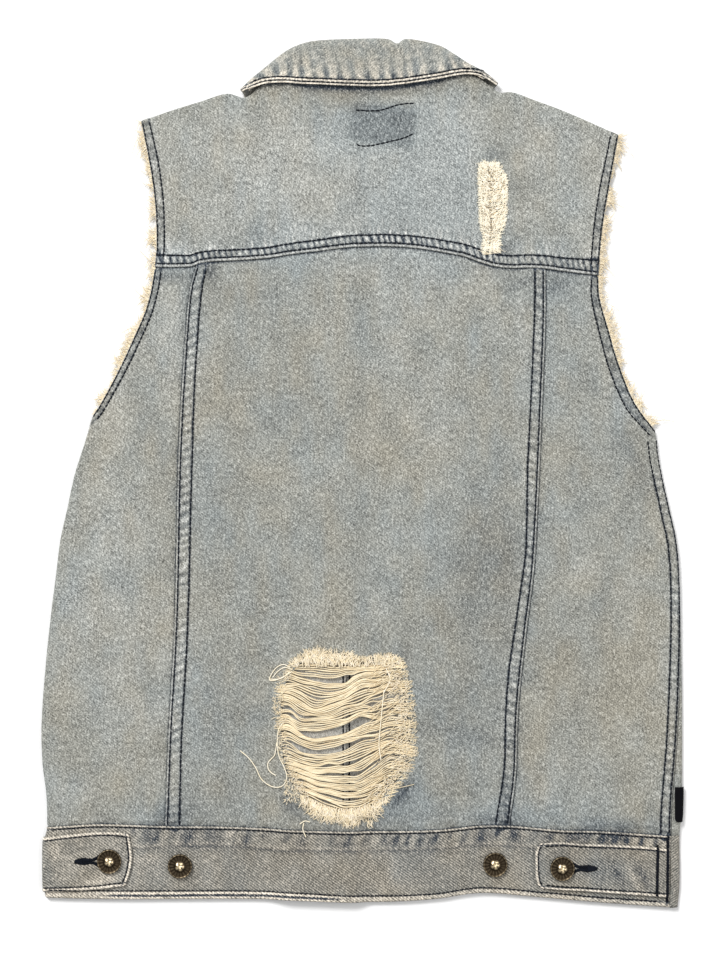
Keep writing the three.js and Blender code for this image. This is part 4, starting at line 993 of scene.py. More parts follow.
def tubes(name, threads, sides=0):
    """Joins many round threads into one mesh. Each is a list of points and of radii, in mm."""
    data = bpy.data.curves.new(name, "CURVE")
    data.dimensions = "3D"
    data.bevel_depth = MM
    data.bevel_resolution = sides
    data.use_fill_caps = True
    for points, radii in threads:
        spline = data.splines.new("POLY")
        spline.points.add(len(points) - 1)
        co = np.column_stack((np.asarray(points) * MM, np.ones(len(points))))
        spline.points.foreach_set("co", co.ravel())
        spline.points.foreach_set("radius", np.broadcast_to(radii, len(points)).astype(np.float32))
    shape = new_piece(name + "_line", data)
    bpy.context.view_layer.update()
    mesh = bpy.data.meshes.new_from_object(shape.evaluated_get(bpy.context.evaluated_depsgraph_get()))
    mesh.name = name
    bpy.data.objects.remove(shape)
    mesh.polygons.foreach_set("use_smooth", np.ones(len(mesh.polygons), bool))
    facing = np.zeros(3 * len(mesh.vertices), np.float32)
    mesh.vertex_normals.foreach_get("vector", facing)
    # Painted shade: how far each point faces up or down, for the thread materials to darken each thread's sides
    paint(mesh, "top", smooth(np.abs(facing[2::3]) / 0.72))
    return new_piece(name, mesh)


def dress(piece, slot, materials, replaces=()):
    """Gives a piece its finish and puts it on the body."""
    piece.data.materials.clear()
    for material in materials:
        piece.data.materials.append(material)
    if replaces:
        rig.replaces(piece, *replaces)
    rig.slot(piece, slot)
    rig.ride(piece, BODY)
    return piece


def lay_panel(name, node, outline, layer, us, vs, features, slot, skin, thickness, held, rests_on, **more):
    """Makes a cut panel, dresses it and states its sheet of cloth."""
    piece = make_panel(name, outline, layer, us, vs, features, thickness, **more)
    dress(piece, slot, skin, [node])
    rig.sheet(piece, **cut_of(outline), held=held, rests_on=rests_on)


def lay_threads(name, threads, skin, replaces=(), sides=0):
    """Makes a piece of many threads and dresses it."""
    dress(tubes(name, threads, sides), "threads", [skin], replaces)


def on_back(flat, raised):
    """Points in mm on the back's outer face, raised by mm."""
    return np.column_stack((flat, surface_at(flat[:, 0], flat[:, 1]) + raised))


def cloth_tree(*names):
    """The outer faces of some cloth pieces, to drop threads on."""
    bm = bmesh.new()
    for name in names:
        bm.from_mesh(bpy.data.objects[name].data)
    tree = BVHTree.FromBMesh(bm)
    bm.free()
    return tree


def height_on(tree, x, y, default=BACK_FACE):
    hit = tree.ray_cast(Vector((x * MM, y * MM, 0.05)), Vector((0, 0, -1)))[0]
    return hit.z / MM if hit else default


def heights_on(tree, flat):
    return np.array([height_on(tree, x, y) for x, y in flat])


# Materials


class Net:
    """Short calls that lay out a node tree."""

    def __init__(self, tree):
        self.tree = tree

    def add(self, kind, **settings):
        node = self.tree.nodes.new(kind)
        for key, value in settings.items():
            setattr(node, key, value)
        return node

    def feed(self, socket, value):
        if isinstance(value, bpy.types.NodeSocket):
            self.tree.links.new(value, socket)
        else:
            socket.default_value = value

    def math(self, operation, a, b=0.0, clamp=False):
        node = self.add("ShaderNodeMath", operation=operation, use_clamp=clamp)
        self.feed(node.inputs[0], a)
        self.feed(node.inputs[1], b)
        return node.outputs[0]

    def times(self, a, b, clamp=False):
        return self.math("MULTIPLY", a, b, clamp)

    def plus(self, a, b, clamp=False):
        return self.math("ADD", a, b, clamp)

    def centred(self, value, amount):
        return self.times(self.math("SUBTRACT", value, 0.5), amount)

    def attribute(self, name):
        return self.add("ShaderNodeAttribute", attribute_name=name).outputs["Fac"]

    def place(self):
        return self.add("ShaderNodeTexCoord").outputs["Object"]

    def axes(self, vector):
        node = self.add("ShaderNodeSeparateXYZ")
        self.feed(node.inputs[0], vector)
        return node.outputs

    def mix(self, factor, a, b, blend="MIX"):
        node = self.add("ShaderNodeMix", data_type="RGBA", blend_type=blend)
        self.feed(node.inputs[0], factor)
        self.feed(node.inputs[6], a)
        self.feed(node.inputs[7], b)
        return node.outputs[2]

    def noise(self, vector, scale, detail=2.0, roughness=0.5):
        node = self.add("ShaderNodeTexNoise")
        self.feed(node.inputs["Vector"], vector)
        node.inputs["Scale"].default_value = scale
        node.inputs["Detail"].default_value = detail
        node.inputs["Roughness"].default_value = roughness
        return node.outputs["Fac"]

    def scaled(self, vector, scale):
        node = self.add("ShaderNodeMapping")
        self.feed(node.inputs["Vector"], vector)
        node.inputs["Scale"].default_value = scale
        return node.outputs["Vector"]


def new_group(name, inputs, outputs):
    """A shader node group with named sockets."""
    group = bpy.data.node_groups.new(name, "ShaderNodeTree")
    for kind, sockets in (("INPUT", inputs), ("OUTPUT", outputs)):
        for label, socket_type, default in sockets:
            socket = group.interface.new_socket(name=label, in_out=kind, socket_type=socket_type)
            if default is not None:
                socket.default_value = default
    net = Net(group)
    return group, net, net.add("NodeGroupInput"), net.add("NodeGroupOutput")


def denim_group():
    """Washed denim: uneven yarns, twill lines, wear towards the white and dye towards the blue."""
    if "Washed denim" in bpy.data.node_groups:
        return bpy.data.node_groups["Washed denim"]
    colour, number, vector = "NodeSocketColor", "NodeSocketFloat", "NodeSocketVector"
    group, net, given, out = new_group(
        "Washed denim",
        [
            ("Cloth", vector, None), ("Base", colour, (0.4, 0.4, 0.4, 1)),
            ("Deep", colour, (0.05, 0.07, 0.1, 1)), ("Pale", colour, (0.8, 0.78, 0.7, 1)),
            ("Wear", number, 0.0), ("Dye", number, 0.0),
            ("Hue", number, 0.0), ("Wale X", number, 4300.0), ("Wale Y", number, 2500.0),
            ("Mottle", number, 1.0), ("Twill", number, 0.1),
        ],
        [("Color", colour, None), ("Roughness", number, None), ("Height", number, None)],
    )
    get = given.outputs
    cloth = get["Cloth"]

    def grain(vector, x_scale, y_scale, detail, roughness=0.5):
        return net.noise(net.scaled(vector, (x_scale, y_scale, 1)), 1.0, detail, roughness)

    drift = net.add("ShaderNodeTexNoise")
    net.feed(drift.inputs["Vector"], net.scaled(cloth, (240, 240, 1)))
    drift.inputs["Scale"].default_value = 1.0
    shifted = net.add("ShaderNodeVectorMath", operation="MULTIPLY_ADD")
    net.feed(shifted.inputs[0], drift.outputs["Color"])
    shifted.inputs[1].default_value = (0.004, 0.004, 0)
    net.feed(shifted.inputs[2], cloth)
    fine = grain(cloth, 1000, 820, 2.0, 0.65)
    speck = grain(cloth, 1700, 1400, 1.0)
    streak = grain(shifted.outputs[0], 740, 330, 2.0, 0.6)
    wash = grain(cloth, 60, 42, 3.0, 0.6)
    tint = grain(cloth, 22, 16, 2.0)
    x, y, _ = net.axes(cloth)
    phase = net.math("SUBTRACT", net.times(x, get["Wale X"]), net.times(y, get["Wale Y"]))
    twill = net.math("SINE", net.plus(phase, net.times(fine, 2.0)))
    level = net.plus(net.centred(fine, 2.5), net.centred(speck, 2.0))
    level = net.times(net.plus(level, net.centred(streak, 2.6)), get["Mottle"])
    level = net.math("MAXIMUM", level, net.times(level, 0.62))
    level = net.plus(level, net.times(twill, get["Twill"]))
    shade = net.plus(net.centred(tint, 1.9), get["Hue"])
    cool = net.times(net.plus(shade, 1.0), 0.5, True)
    hue = net.mix(cool, (1.07, 1.0, 0.905, 1), (0.925, 1.0, 1.09, 1))
    plain = net.mix(1.0, get["Base"], hue, "MULTIPLY")
    ragged = net.plus(0.9, net.centred(streak, 2.0))
    worn = net.mix(net.times(get["Wear"], ragged, True), plain, get["Pale"])
    smudge = net.math("SUBTRACT", 1.0, net.centred(streak, 1.6))
    dyed = net.mix(net.times(get["Dye"], smudge, True), worn, get["Deep"])
    bright = net.math("MAXIMUM", net.plus(net.plus(level, net.centred(wash, 0.62)), 1.0), 0.12)
    bright_colour = net.add("ShaderNodeCombineColor")
    for socket in bright_colour.inputs[:3]:
        net.feed(socket, bright)
    grained = net.mix(1.0, dyed, bright_colour.outputs[0], "MULTIPLY")
    flecks = net.times(net.math("SUBTRACT", level, 0.3), 0.7, True)
    final = net.mix(net.math("MINIMUM", flecks, 0.5), grained, get["Pale"])
    net.feed(out.inputs["Color"], final)
    net.feed(out.inputs["Roughness"], net.plus(0.86, net.times(level, 0.1), True))
    relief = net.plus(net.times(twill, 0.25), net.times(fine, 1.2))
    relief = net.plus(net.plus(relief, net.times(streak, 0.7)), net.times(speck, 0.5))
    net.feed(out.inputs["Height"], relief)
    return group


def new_material(name):
    material = bpy.data.materials.new(name)
    material.use_nodes = True
    net = Net(material.node_tree)
    shader = material.node_tree.nodes["Principled BSDF"]
    return material, net, shader


def add_bump(net, shader, height, strength, distance):
    bump = net.add("ShaderNodeBump")
    bump.inputs["Strength"].default_value = strength
    bump.inputs["Distance"].default_value = distance * MM
    net.feed(bump.inputs["Height"], height)
    net.feed(shader.inputs["Normal"], bump.outputs["Normal"])


def made_once(make):
    """Gives back the material when one of its name was made before."""

    def named(name, *values, **settings):
        return bpy.data.materials.get(name) or make(name, *values, **settings)

    return named


@made_once
def denim(name, base, deep, pale, wale, mottle_by, twill, inside=False):
    """A denim material; the inside of the cloth shows its white weft and no wear."""
    material, net, shader = new_material(name)
    group = net.add("ShaderNodeGroup", node_tree=denim_group())
    net.feed(group.inputs["Cloth"], net.add("ShaderNodeUVMap", uv_map="cloth").outputs["UV"])
    for key, value in (("Base", base), ("Deep", deep), ("Pale", pale)):
        group.inputs[key].default_value = (*value, 1)
    if not inside:
        for key in ("Wear", "Dye", "Hue"):
            net.feed(group.inputs[key], net.attribute(key.lower()))
    group.inputs["Wale X"].default_value, group.inputs["Wale Y"].default_value = wale
    group.inputs["Mottle"].default_value = mottle_by
    group.inputs["Twill"].default_value = twill
    net.feed(shader.inputs["Base Color"], group.outputs["Color"])
    net.feed(shader.inputs["Roughness"], group.outputs["Roughness"])
    add_bump(net, shader, group.outputs["Height"], 0.6, 0.3)
    shader.inputs["Sheen Weight"].default_value = 0.06
    shader.inputs["Sheen Roughness"].default_value = 0.6
    shader.inputs["Specular IOR Level"].default_value = 0.25
    return material


@made_once
def thread_material(name, light, dark, spread=(260, 260, 260), sheen=0.15, side_shade=(0.72, 0.62, 0.50)):
    """Yarn: two tones that change along it and from one yarn to the next, with a fine twist in the bump."""
    material, net, shader = new_material(name)
    spot = net.place()
    tone = net.noise(net.scaled(spot, spread), 1.0, 2.0, 0.6)
    tone = net.times(net.math("SUBTRACT", tone, 0.34), 3.2, True)
    yarn = net.mix(tone, (*dark, 1), (*light, 1))
    # Painted shade: the sides of each yarn turn to a darker colour
    top = net.attribute("top")
    side_shade = tuple(c * f for c, f in zip(dark, side_shade))
    net.feed(shader.inputs["Base Color"], net.mix(top, (*side_shade, 1), yarn))
    fuzz = net.noise(spot, 2600.0, 1.0)
    net.feed(shader.inputs["Roughness"], net.plus(0.8, net.times(fuzz, 0.1)))
    add_bump(net, shader, fuzz, 0.5, 0.15)
    shader.inputs["Sheen Weight"].default_value = sheen
    shader.inputs["Specular IOR Level"].default_value = 0.15
    return material


@made_once
def brass_material(name, dark, bright):
    """Antique brass: dark in the hollows, rubbed bright on what stands up."""
    material, net, shader = new_material(name)
    spot = net.place()
    rubbed = net.attribute("wear")
    grime = net.noise(spot, 900.0, 3.0, 0.6)
    amount = net.times(rubbed, net.plus(0.55, grime), True)
    net.feed(shader.inputs["Base Color"], net.mix(amount, (*dark, 1), (*bright, 1)))
    rough = net.math("SUBTRACT", net.plus(0.34, net.times(grime, 0.22)), net.times(rubbed, 0.16))
    net.feed(shader.inputs["Roughness"], rough)
    shader.inputs["Metallic"].default_value = 1.0
    add_bump(net, shader, grime, 0.35, 0.12)
    return material


@made_once
def label_material(name, colour):
    """Black woven tape: fine ribs across it."""
    material, net, shader = new_material(name)
    spot = net.place()
    ribs = net.math("SINE", net.times(net.axes(spot)[1], 9000.0))
    cloudy = net.noise(spot, 700.0, 2.0)
    shader.inputs["Specular IOR Level"].default_value = 0.04
    lighter = tuple(2.2 * c for c in colour)
    net.feed(shader.inputs["Base Color"], net.mix(cloudy, (*colour, 1), (*lighter, 1)))
    net.feed(shader.inputs["Roughness"], net.plus(0.5, net.times(cloudy, 0.2)))
    add_bump(net, shader, ribs, 0.4, 0.12)
    return material


def floor_material(name, colour):
    """Plain pale backdrop paper."""
    material, net, shader = new_material(name)
    spot = net.place()
    grain = net.noise(spot, 60.0, 3.0)
    shade = tuple(0.99 * c for c in colour)
    net.feed(shader.inputs["Base Color"], net.mix(grain, (*shade, 1), (*colour, 1)))
    net.feed(shader.inputs["Roughness"], net.plus(0.85, net.times(grain, 0.1)))
    return material


def palette(scene):
    """The vest's materials, from the colours in the sidebar."""
    tones = {name: tuple(getattr(scene.vest_colours, name)) for name in VestColours.__annotations__}
    dye, bead = tones["dye"], tones["bead"]
    half_fleck = [c * 0.5 for c in tones["flecks"]]
    double_navy = [c * 2 for c in tones["stitches"]]
    short, fine, pale_side_shade = (330, 330, 330), (420, 420, 420), (0.92, 0.84, 0.70)
    return {
        "denim": denim("denim_body", tones["denim"], dye, tones["worn"], WALE, 1.12, 0.12),
        "collar": denim("denim_collar", tones["denim"], dye, bead, WALE, 1.0, 0.12),
        "inside": denim("denim_inside", tones["inside"], dye, tones["worn"], (-4300, 2500), 0.7, 0.06, True),
        "band": denim("denim_band", tones["waistband"], dye, bead, WALE, 1.0, 0.45),
        "navy": thread_material("navy_thread", double_navy, tones["stitches"], sheen=0),
        "cream": thread_material("cream_threads", tones["threads"], tones["shaded"], (90, 900, 900)),
        "fray": thread_material("frayed_ends", tones["fray"], tones["threads"], short),
        "fluff": thread_material("fluffed_ends", tones["fluff"], tones["fray"], fine, side_shade=pale_side_shade),
        "fleck": thread_material("yarn_flecks", tones["flecks"], half_fleck, fine),
        "brass": brass_material("antique_brass", tones["brass"], tones["brass_rubbed"]),
        "label": label_material("woven_label", tones["label"]),
    }


# Outlines of the panels

yoke_edge = curve_px(YOKE_EDGE)
waist_seam = curve_px(WAIST_SEAM)
princess_left = curve_px(PRINCESS_LEFT)
princess_right = curve_px(PRINCESS_RIGHT)
ENDS = np.array([0.0, 1.0])
YOKE_CUTS, WAIST_CUTS = (
    [where_x(run, seam(ENDS)[end, 0]) for seam in (princess_left, princess_right)]
    for run, end in ((yoke_edge, 0), (waist_seam, 1))
)


def shoulder_line(rows, which):
    """The shoulder line moved out by what its fold takes up."""
    run, (_, neck_x, _, out_at) = curve_px(rows), SHOULDERS[which]

    def at(t):
        p = run(t)
        take = (FOLD_RADIUS * (math.pi / 2 - 1) - 0.15) * smooth(np.abs(p[:, :1] - neck_x) / 16)
        return p + take * out_at(p[:, 0])

    return at


def flange_left(y):
    return fold_left(y) + FOLD_RADIUS * (1 - math.pi) - SIDE_FLANGE


def unrolled_right(y):
    return 2 * fold_right(y) - seam_right(y) + (math.pi - 2) * FOLD_RADIUS - 0.3


def reach(run, end, backwards=False):
    """Bends the start or the end of a line to a given point."""

    def at(t):
        t = np.asarray(t, float)
        weight = (smooth((t - 0.9) * 10) if backwards else 1 - smooth(t * 20))[:, None]
        return run(t) * (1 - weight) + end * weight

    return at


def bent_bottom(left):
    end = left(ENDS)[1]

    def at(t):
        weight = (1 - smooth(np.asarray(t, float) * 6))[:, None]
        return part(waist_seam, 0, WAIST_CUTS[0])(t) * (1 - weight) + end * weight

    return at


def hem_zone(t):
    """Weight of the armhole's stretch on a side panel's outer edge."""
    return 1 - smooth((t - ARMHOLE_SHARE + 0.02) / 0.03)


def seam_zone(t):
    """Weight of the side seam's stretch below the armhole."""
    return smooth((t - 0.37) / 0.03)


def in_rip(point):
    """Whether a point lies in the hole of the rip."""
    x, y = point.x / MM, point.y / MM
    hole = to_mm(RIP_HOLE)
    wobble = 1.2 * float(mottle(x, y, 3, 21))
    inside = False
    for (ax, ay), (bx, by) in zip(hole, np.roll(hole, -1, axis=0)):
        if (ay > y) != (by > y) and x + wobble < (bx - ax) * (y - ay) / (by - ay) + ax:
            inside = not inside
    return inside


def build_back_panels(scene):
    skins = palette(scene)
    yoke_top = in_turn(
        (0.22, shoulder_line(SHOULDER_LEFT, 0)), (0.54, curve_px(BACK_NECK)),
        (0.24, shoulder_line(SHOULDER_RIGHT, 1)),
    )
    below = 1 - ARMHOLE_SHARE
    left = in_turn((ARMHOLE_SHARE, curve_px(ARMHOLE_LEFT_SIDE)), (below, between(flange_left, 432, 827.7)))
    right = in_turn((ARMHOLE_SHARE, curve_px(ARMHOLE_RIGHT_SIDE)), (below, between(seam_right, 434, 836)))
    side_rows = stations(404, 2.0, end=5, tuck_start=4, tuck_end=4)
    seam = {"height": 0.85, "pucker": 0.25, "pitch": 6.5, "pale": 0.62, "dark": 0.5, "bias": 0.1}
    yoke_seam = {"rows": YOKE_ROWS, "pitch": 4.6, "dark": 1.5, "pale": 0.85, "fuzz": 1.35, "bias": 0.1}
    panels = [
        ("yoke", "yoke_back", {
            "top": yoke_top, "bottom": yoke_edge,
            "left": curve_px(ARMHOLE_LEFT_YOKE), "right": curve_px(ARMHOLE_RIGHT_YOKE),
        }, stations(446, 1.05, extra=(0.22, 0.76)), stations(125, 2.3, start=9, end=13, fine=0.9), [
            ("bottom", lap_seam, {"seed": 31, **yoke_seam}),
            ("left", raw_hem, {"seed": 32, "rows": ARMHOLE_ROWS[0]}),
            ("right", raw_hem, {"seed": 33, "rows": ARMHOLE_ROWS[1]}),
        ], False, "laid", ["centre", "side_left", "side_right"]),
        ("centre", "centre_back", {
            "top": part(yoke_edge, *YOKE_CUTS), "bottom": part(waist_seam, *WAIST_CUTS),
            "left": princess_left, "right": princess_right,
        }, stations(248, 2.7, start=12.5, end=12.5), stations(412, 2.0, end=5, tuck_start=4, tuck_end=4), [
            ("left", lap_seam, {"seed": 41, "rows": PRINCESS_ROWS[0], **seam}),
            ("right", lap_seam, {"seed": 42, "rows": PRINCESS_ROWS[1], **seam}),
            ("top", tucked, {"seed": 43}), ("bottom", tucked, {"seed": 44}),
        ], True, "laid", ["front_panel_left", "front_panel_right"]),
        ("side_left", "side_back_left", {
            "top": part(yoke_edge, 0, YOKE_CUTS[0]), "bottom": bent_bottom(left),
            "left": left, "right": princess_left,
        }, stations(100, 2.6, start=26, end=5, fine=1.0, tuck_end=4), side_rows, [
            ("left", raw_hem, {"seed": 51, "rows": ARMHOLE_ROWS[2], "where": hem_zone}),
            ("right", tucked, {"seed": 52}), ("top", tucked, {"seed": 53}), ("bottom", tucked, {"seed": 54}),
        ], False, "folded", ["front_panel_left"]),
        ("side_right", "side_back_right", {
            "top": part(yoke_edge, YOKE_CUTS[1], 1), "bottom": part(waist_seam, WAIST_CUTS[1], 1),
            "left": princess_right, "right": right,
        }, stations(96, 2.6, start=5, end=16, fine=0.95, tuck_start=4), side_rows, [
            ("right", raw_hem, {"seed": 61, "rows": ARMHOLE_ROWS[3], "where": hem_zone}),
            ("right", lap_seam, {"seed": 62, "rows": SIDE_ROWS, "where": seam_zone, **seam}),
            ("left", tucked, {"seed": 63}), ("top", tucked, {"seed": 64}), ("bottom", tucked, {"seed": 65}),
        ], False, "laid", ["front_panel_right"]),
    ]
    for name, node, outline, us, vs, features, ripped, held, under in panels:
        lay_panel(
            name, node, outline, 1, us, vs, features, "denim", [skins["denim"], skins["inside"]],
            scene.vest_sizes.cloth / MM, held, under, ripped=ripped,
        )


def build_waistband(scene):
    skins = palette(scene)
    thickness = scene.vest_sizes.cloth / MM
    left, right = between(flange_left, 827.7, 897.5), between(seam_right, 836, 907.5)
    outline = {
        "top": reach(waist_seam, left(ENDS)[0]), "bottom": reach(curve_px(BACK_HEM), left(ENDS)[1]),
        "left": left, "right": right,
    }
    features = [
        ("top", bead_edge, {"seed": 71, "row": 2.0, "height": 0.9, "pale": 0.62}),
        ("top", band_marks, {"seed": 75}),
        ("bottom", bead_edge, {"seed": 72, "row": HEM_ROW, "height": 0.3, "pale": 0.5}),
        ("bottom", second_edge, {"seed": 76, "where": lambda t: plateau(t, 0.13, 0.44, 0.05)}),
        ("right", bead_edge, {"seed": 73, "row": 1.6, "height": 0.3, "pale": 0.8}),
    ]
    lay_panel(
        "waistband", "waistband_back", outline, 1, stations(468, 1.3, start=26, end=10, fine=1.1),
        stations(52, 1.3, start=8, end=8, fine=0.8), features, "denim_waistband",
        [skins["band"], skins["inside"]], thickness, "folded", ["front_band_left", "front_band_right"],
    )
    for side, lines in TABS.items():
        top, bottom, end = (to_mm(lines[key]) for key in ("top", "bottom", "end"))
        fixed, free, k = ("left", "right", 0) if side == "left" else ("right", "left", -1)
        if side == "left":
            top[0, 0] = bottom[0, 0] = to_x(44) + FOLD_RADIUS - TAB_WRAP
        outline = {
            "top": curve(top), "bottom": curve(bottom), free: curve(end),
            fixed: line_between(top[k], bottom[k]),
        }
        edges = [
            (edge, bead_edge, {"seed": 80 + n, "start": 0.5, "pale": 1.0})
            for n, edge in enumerate(("top", "bottom", free))
        ]
        lay_panel(
            side + "_tab", "tab_" + side, outline, 1, stations(94, 1.2, start=6, end=6, fine=0.7),
            stations(40, 1.2, start=6, end=6, fine=0.7), edges, "denim_waistband", [skins["band"]] * 2,
            thickness * 1.2, "laid", ["waistband"], raise_by=CLOTH + TAB_CLEARANCE,
        )


def upright(x, y_top, y_bottom):
    return line_between((x, y_top), (x, y_bottom))


def build_fronts(scene):
    skins = palette(scene)

    def clip(run, x0, x1):
        return part(run, where_x(run, x0), where_x(run, x1))

    def y_on(run, x):
        return float(run(np.array([where_x(run, x)]))[0, 1])

    under_left = between(lambda y: fold_left(y) + FOLD_RADIUS + SIDE_FLANGE + 0.3, 430, 827.7)
    band_left = between(lambda y: fold_left(y) + FOLD_RADIUS + SIDE_FLANGE, 827.7, 896.5)
    hem = curve_px(FRONT_HEM)
    waist_left, waist_right = y_on(waist_seam, LAP_RIGHT), y_on(waist_seam, LAP_LEFT)
    right_side = between(unrolled_right, 434, 836)
    right_band = between(unrolled_right, 836, 908)
    panels = [
        ("front_panel_left", "front_left", {
            "top": in_turn((0.44, shoulder_line(SHOULDER_LEFT, 0)), (0.56, curve_px(FRONT_NECK_LEFT))),
            "bottom": clip(waist_seam, under_left(ENDS)[1, 0], LAP_RIGHT),
            "left": in_turn((0.42, curve_px(FRONT_ARMHOLE_LEFT)), (0.58, under_left)),
            "right": upright(LAP_RIGHT, to_y(188), waist_left),
        }, lap_climb, stations(190, 4.5, end=22, fine=2.2), stations(500, 4.2, start=10, fine=1.2), "denim"),
        ("front_panel_right", "front_right", {
            "top": in_turn((0.6, curve_px(FRONT_NECK_RIGHT)), (0.4, shoulder_line(SHOULDER_RIGHT, 1))),
            "bottom": reach(clip(waist_seam, LAP_LEFT, to_x(660)), right_side(ENDS)[1], True),
            "left": upright(LAP_LEFT, to_y(160), waist_right),
            "right": in_turn((0.42, curve_px(FRONT_ARMHOLE_RIGHT)), (0.58, right_side)),
        }, None, stations(280, 4.5, end=30, fine=1.3), stations(500, 3.6, start=10, fine=1.2), "denim"),
        ("front_band_left", "waistband_front_left", {
            "top": clip(waist_seam, band_left(ENDS)[0, 0], LAP_RIGHT),
            "bottom": clip(hem, band_left(ENDS)[1, 0], LAP_RIGHT),
            "left": band_left,
            "right": upright(LAP_RIGHT, waist_left, y_on(hem, LAP_RIGHT)),
        }, lap_climb, stations(205, 4, end=22, fine=2.2), stations(50, 2.5), "band"),
        ("front_band_right", "waistband_front_right", {
            "top": reach(clip(waist_seam, LAP_LEFT, to_x(660)), right_band(ENDS)[0], True),
            "bottom": reach(clip(hem, LAP_LEFT, to_x(660)), right_band(ENDS)[1], True),
            "left": upright(LAP_LEFT, waist_right, y_on(hem, LAP_LEFT)),
            "right": right_band,
        }, None, stations(285, 4, end=26, fine=1.3), stations(50, 2.2), "band"),
    ]
    for name, node, outline, climb, us, vs, skin in panels:
        lay_panel(
            name, node, outline, -1, us, vs, [], "denim" if skin == "denim" else "denim_waistband",
            [skins[skin], skins["inside"]], scene.vest_sizes.cloth / MM,
            "laid" if "left" in name else "folded", ["collar_cloth"], climb=climb,
        )


def build_placket(scene):
    """Two rows of stitches down the overlapping edge of the fronts."""
    threads = []
    for px, climbs in ((343.2, True), (349.4, False)):
        for py in np.arange(240, 824, 4.4):
            y = to_y(py + np.linspace(0.2, 4.0, 4))
            x = np.full(4, to_x(px))
            z = lift(x, y) + (lap_climb(x) if climbs else 0) + CLOTH + np.array((-0.2, 0.15, 0.15, -0.2))
            threads.append((np.column_stack((x, y, z)), scene.vest_sizes.stitch_thread / MM / 2))
    lay_threads("stitches_placket", threads, palette(scene)["navy"])


# Collar


COLLAR_ROWS = (1.9, 4.4)
FALL_STEPS, ROLL_STEPS, UNDER_STEPS, COLLAR_COLUMNS = 34, 14, 14, 236
# A place inside the neck, and the height in the photo below which only the front leaves reach
NECK_MIDDLE_PX = (370, 110)
LEAVES_BELOW_PY = 120


def collar_section(t, steps):
    """One crosswise line of the collar, from the fall's edge over the roll to the lower edge."""
    roll, edge, under = (COLLAR_LINES[key](t) for key in ("roll", "edge", "under"))
    ahead, behind = COLLAR_LINES["roll"](min(1, t + 0.01)), COLLAR_LINES["roll"](max(0, t - 0.01))
    tangent = (ahead - behind) / np.linalg.norm(ahead - behind)
    inward = np.array((tangent[1], -tangent[0]))
    if inward @ (to_mm([NECK_MIDDLE_PX])[0] - roll) < 0:
        inward = -inward
    radius = 3.8 + 0.4 * abs(2 * t - 1) ** 2
    centre = roll + inward * radius
    fall = np.linalg.norm(edge - roll)
    short = min(1, max(0, 1 - fall / radius))
    start = 0.0 if fall > radius + 1 else math.asin(short)
    leaf = under[1] < to_y(LEAVES_BELOW_PY)
    points = []
    for kind, share in steps:
        if kind == "fall" and start > 0:
            kind, share = "roll", -0.12 * share
        if kind == "fall":
            p = centre + (edge - centre) * share
            x, y = np.array([p[0]]), np.array([p[1]])
            top = float((lift(x, y) + BACK_FACE + lap_height(x, y))[0])
            low = top + 1 + COLLAR_CLOTH
            z = max(2 * radius + (low - 2 * radius) * float(smooth(share)), top + 0.3 + COLLAR_CLOTH)
            points.append((p[0], p[1], z))
        elif kind == "roll":
            angle = start * (1 + share) if share < 0 else start + (math.pi - start) * share
            p = centre - inward * radius * math.sin(angle)
            points.append((p[0], p[1], radius * (1 + math.cos(angle))))
        else:
            p = centre + (under - centre) * share
            points.append((p[0], p[1], 0.0 if leaf else (CLOTH + LAYER_GAP - 0.2) * float(smooth(share))))
    return points


def straight_mix(rows):
    points = to_mm(rows)

    def at(t):
        k = min(len(points) - 2, int(t * (len(points) - 1)))
        return points[k] + (points[k + 1] - points[k]) * (t * (len(points) - 1) - k)

    return at


def smooth_mix(rows):
    points = to_mm(rows)
    keys = np.linspace(0, 1, len(points))
    x, y = (through(list(zip(keys, points[:, k]))) for k in (0, 1))
    return lambda t: np.array((float(x(t)), float(y(t))))


COLLAR_LINES = {
    "roll": smooth_mix(COLLAR_ROLL), "edge": smooth_mix(COLLAR_EDGE), "under": straight_mix(COLLAR_UNDER),
}


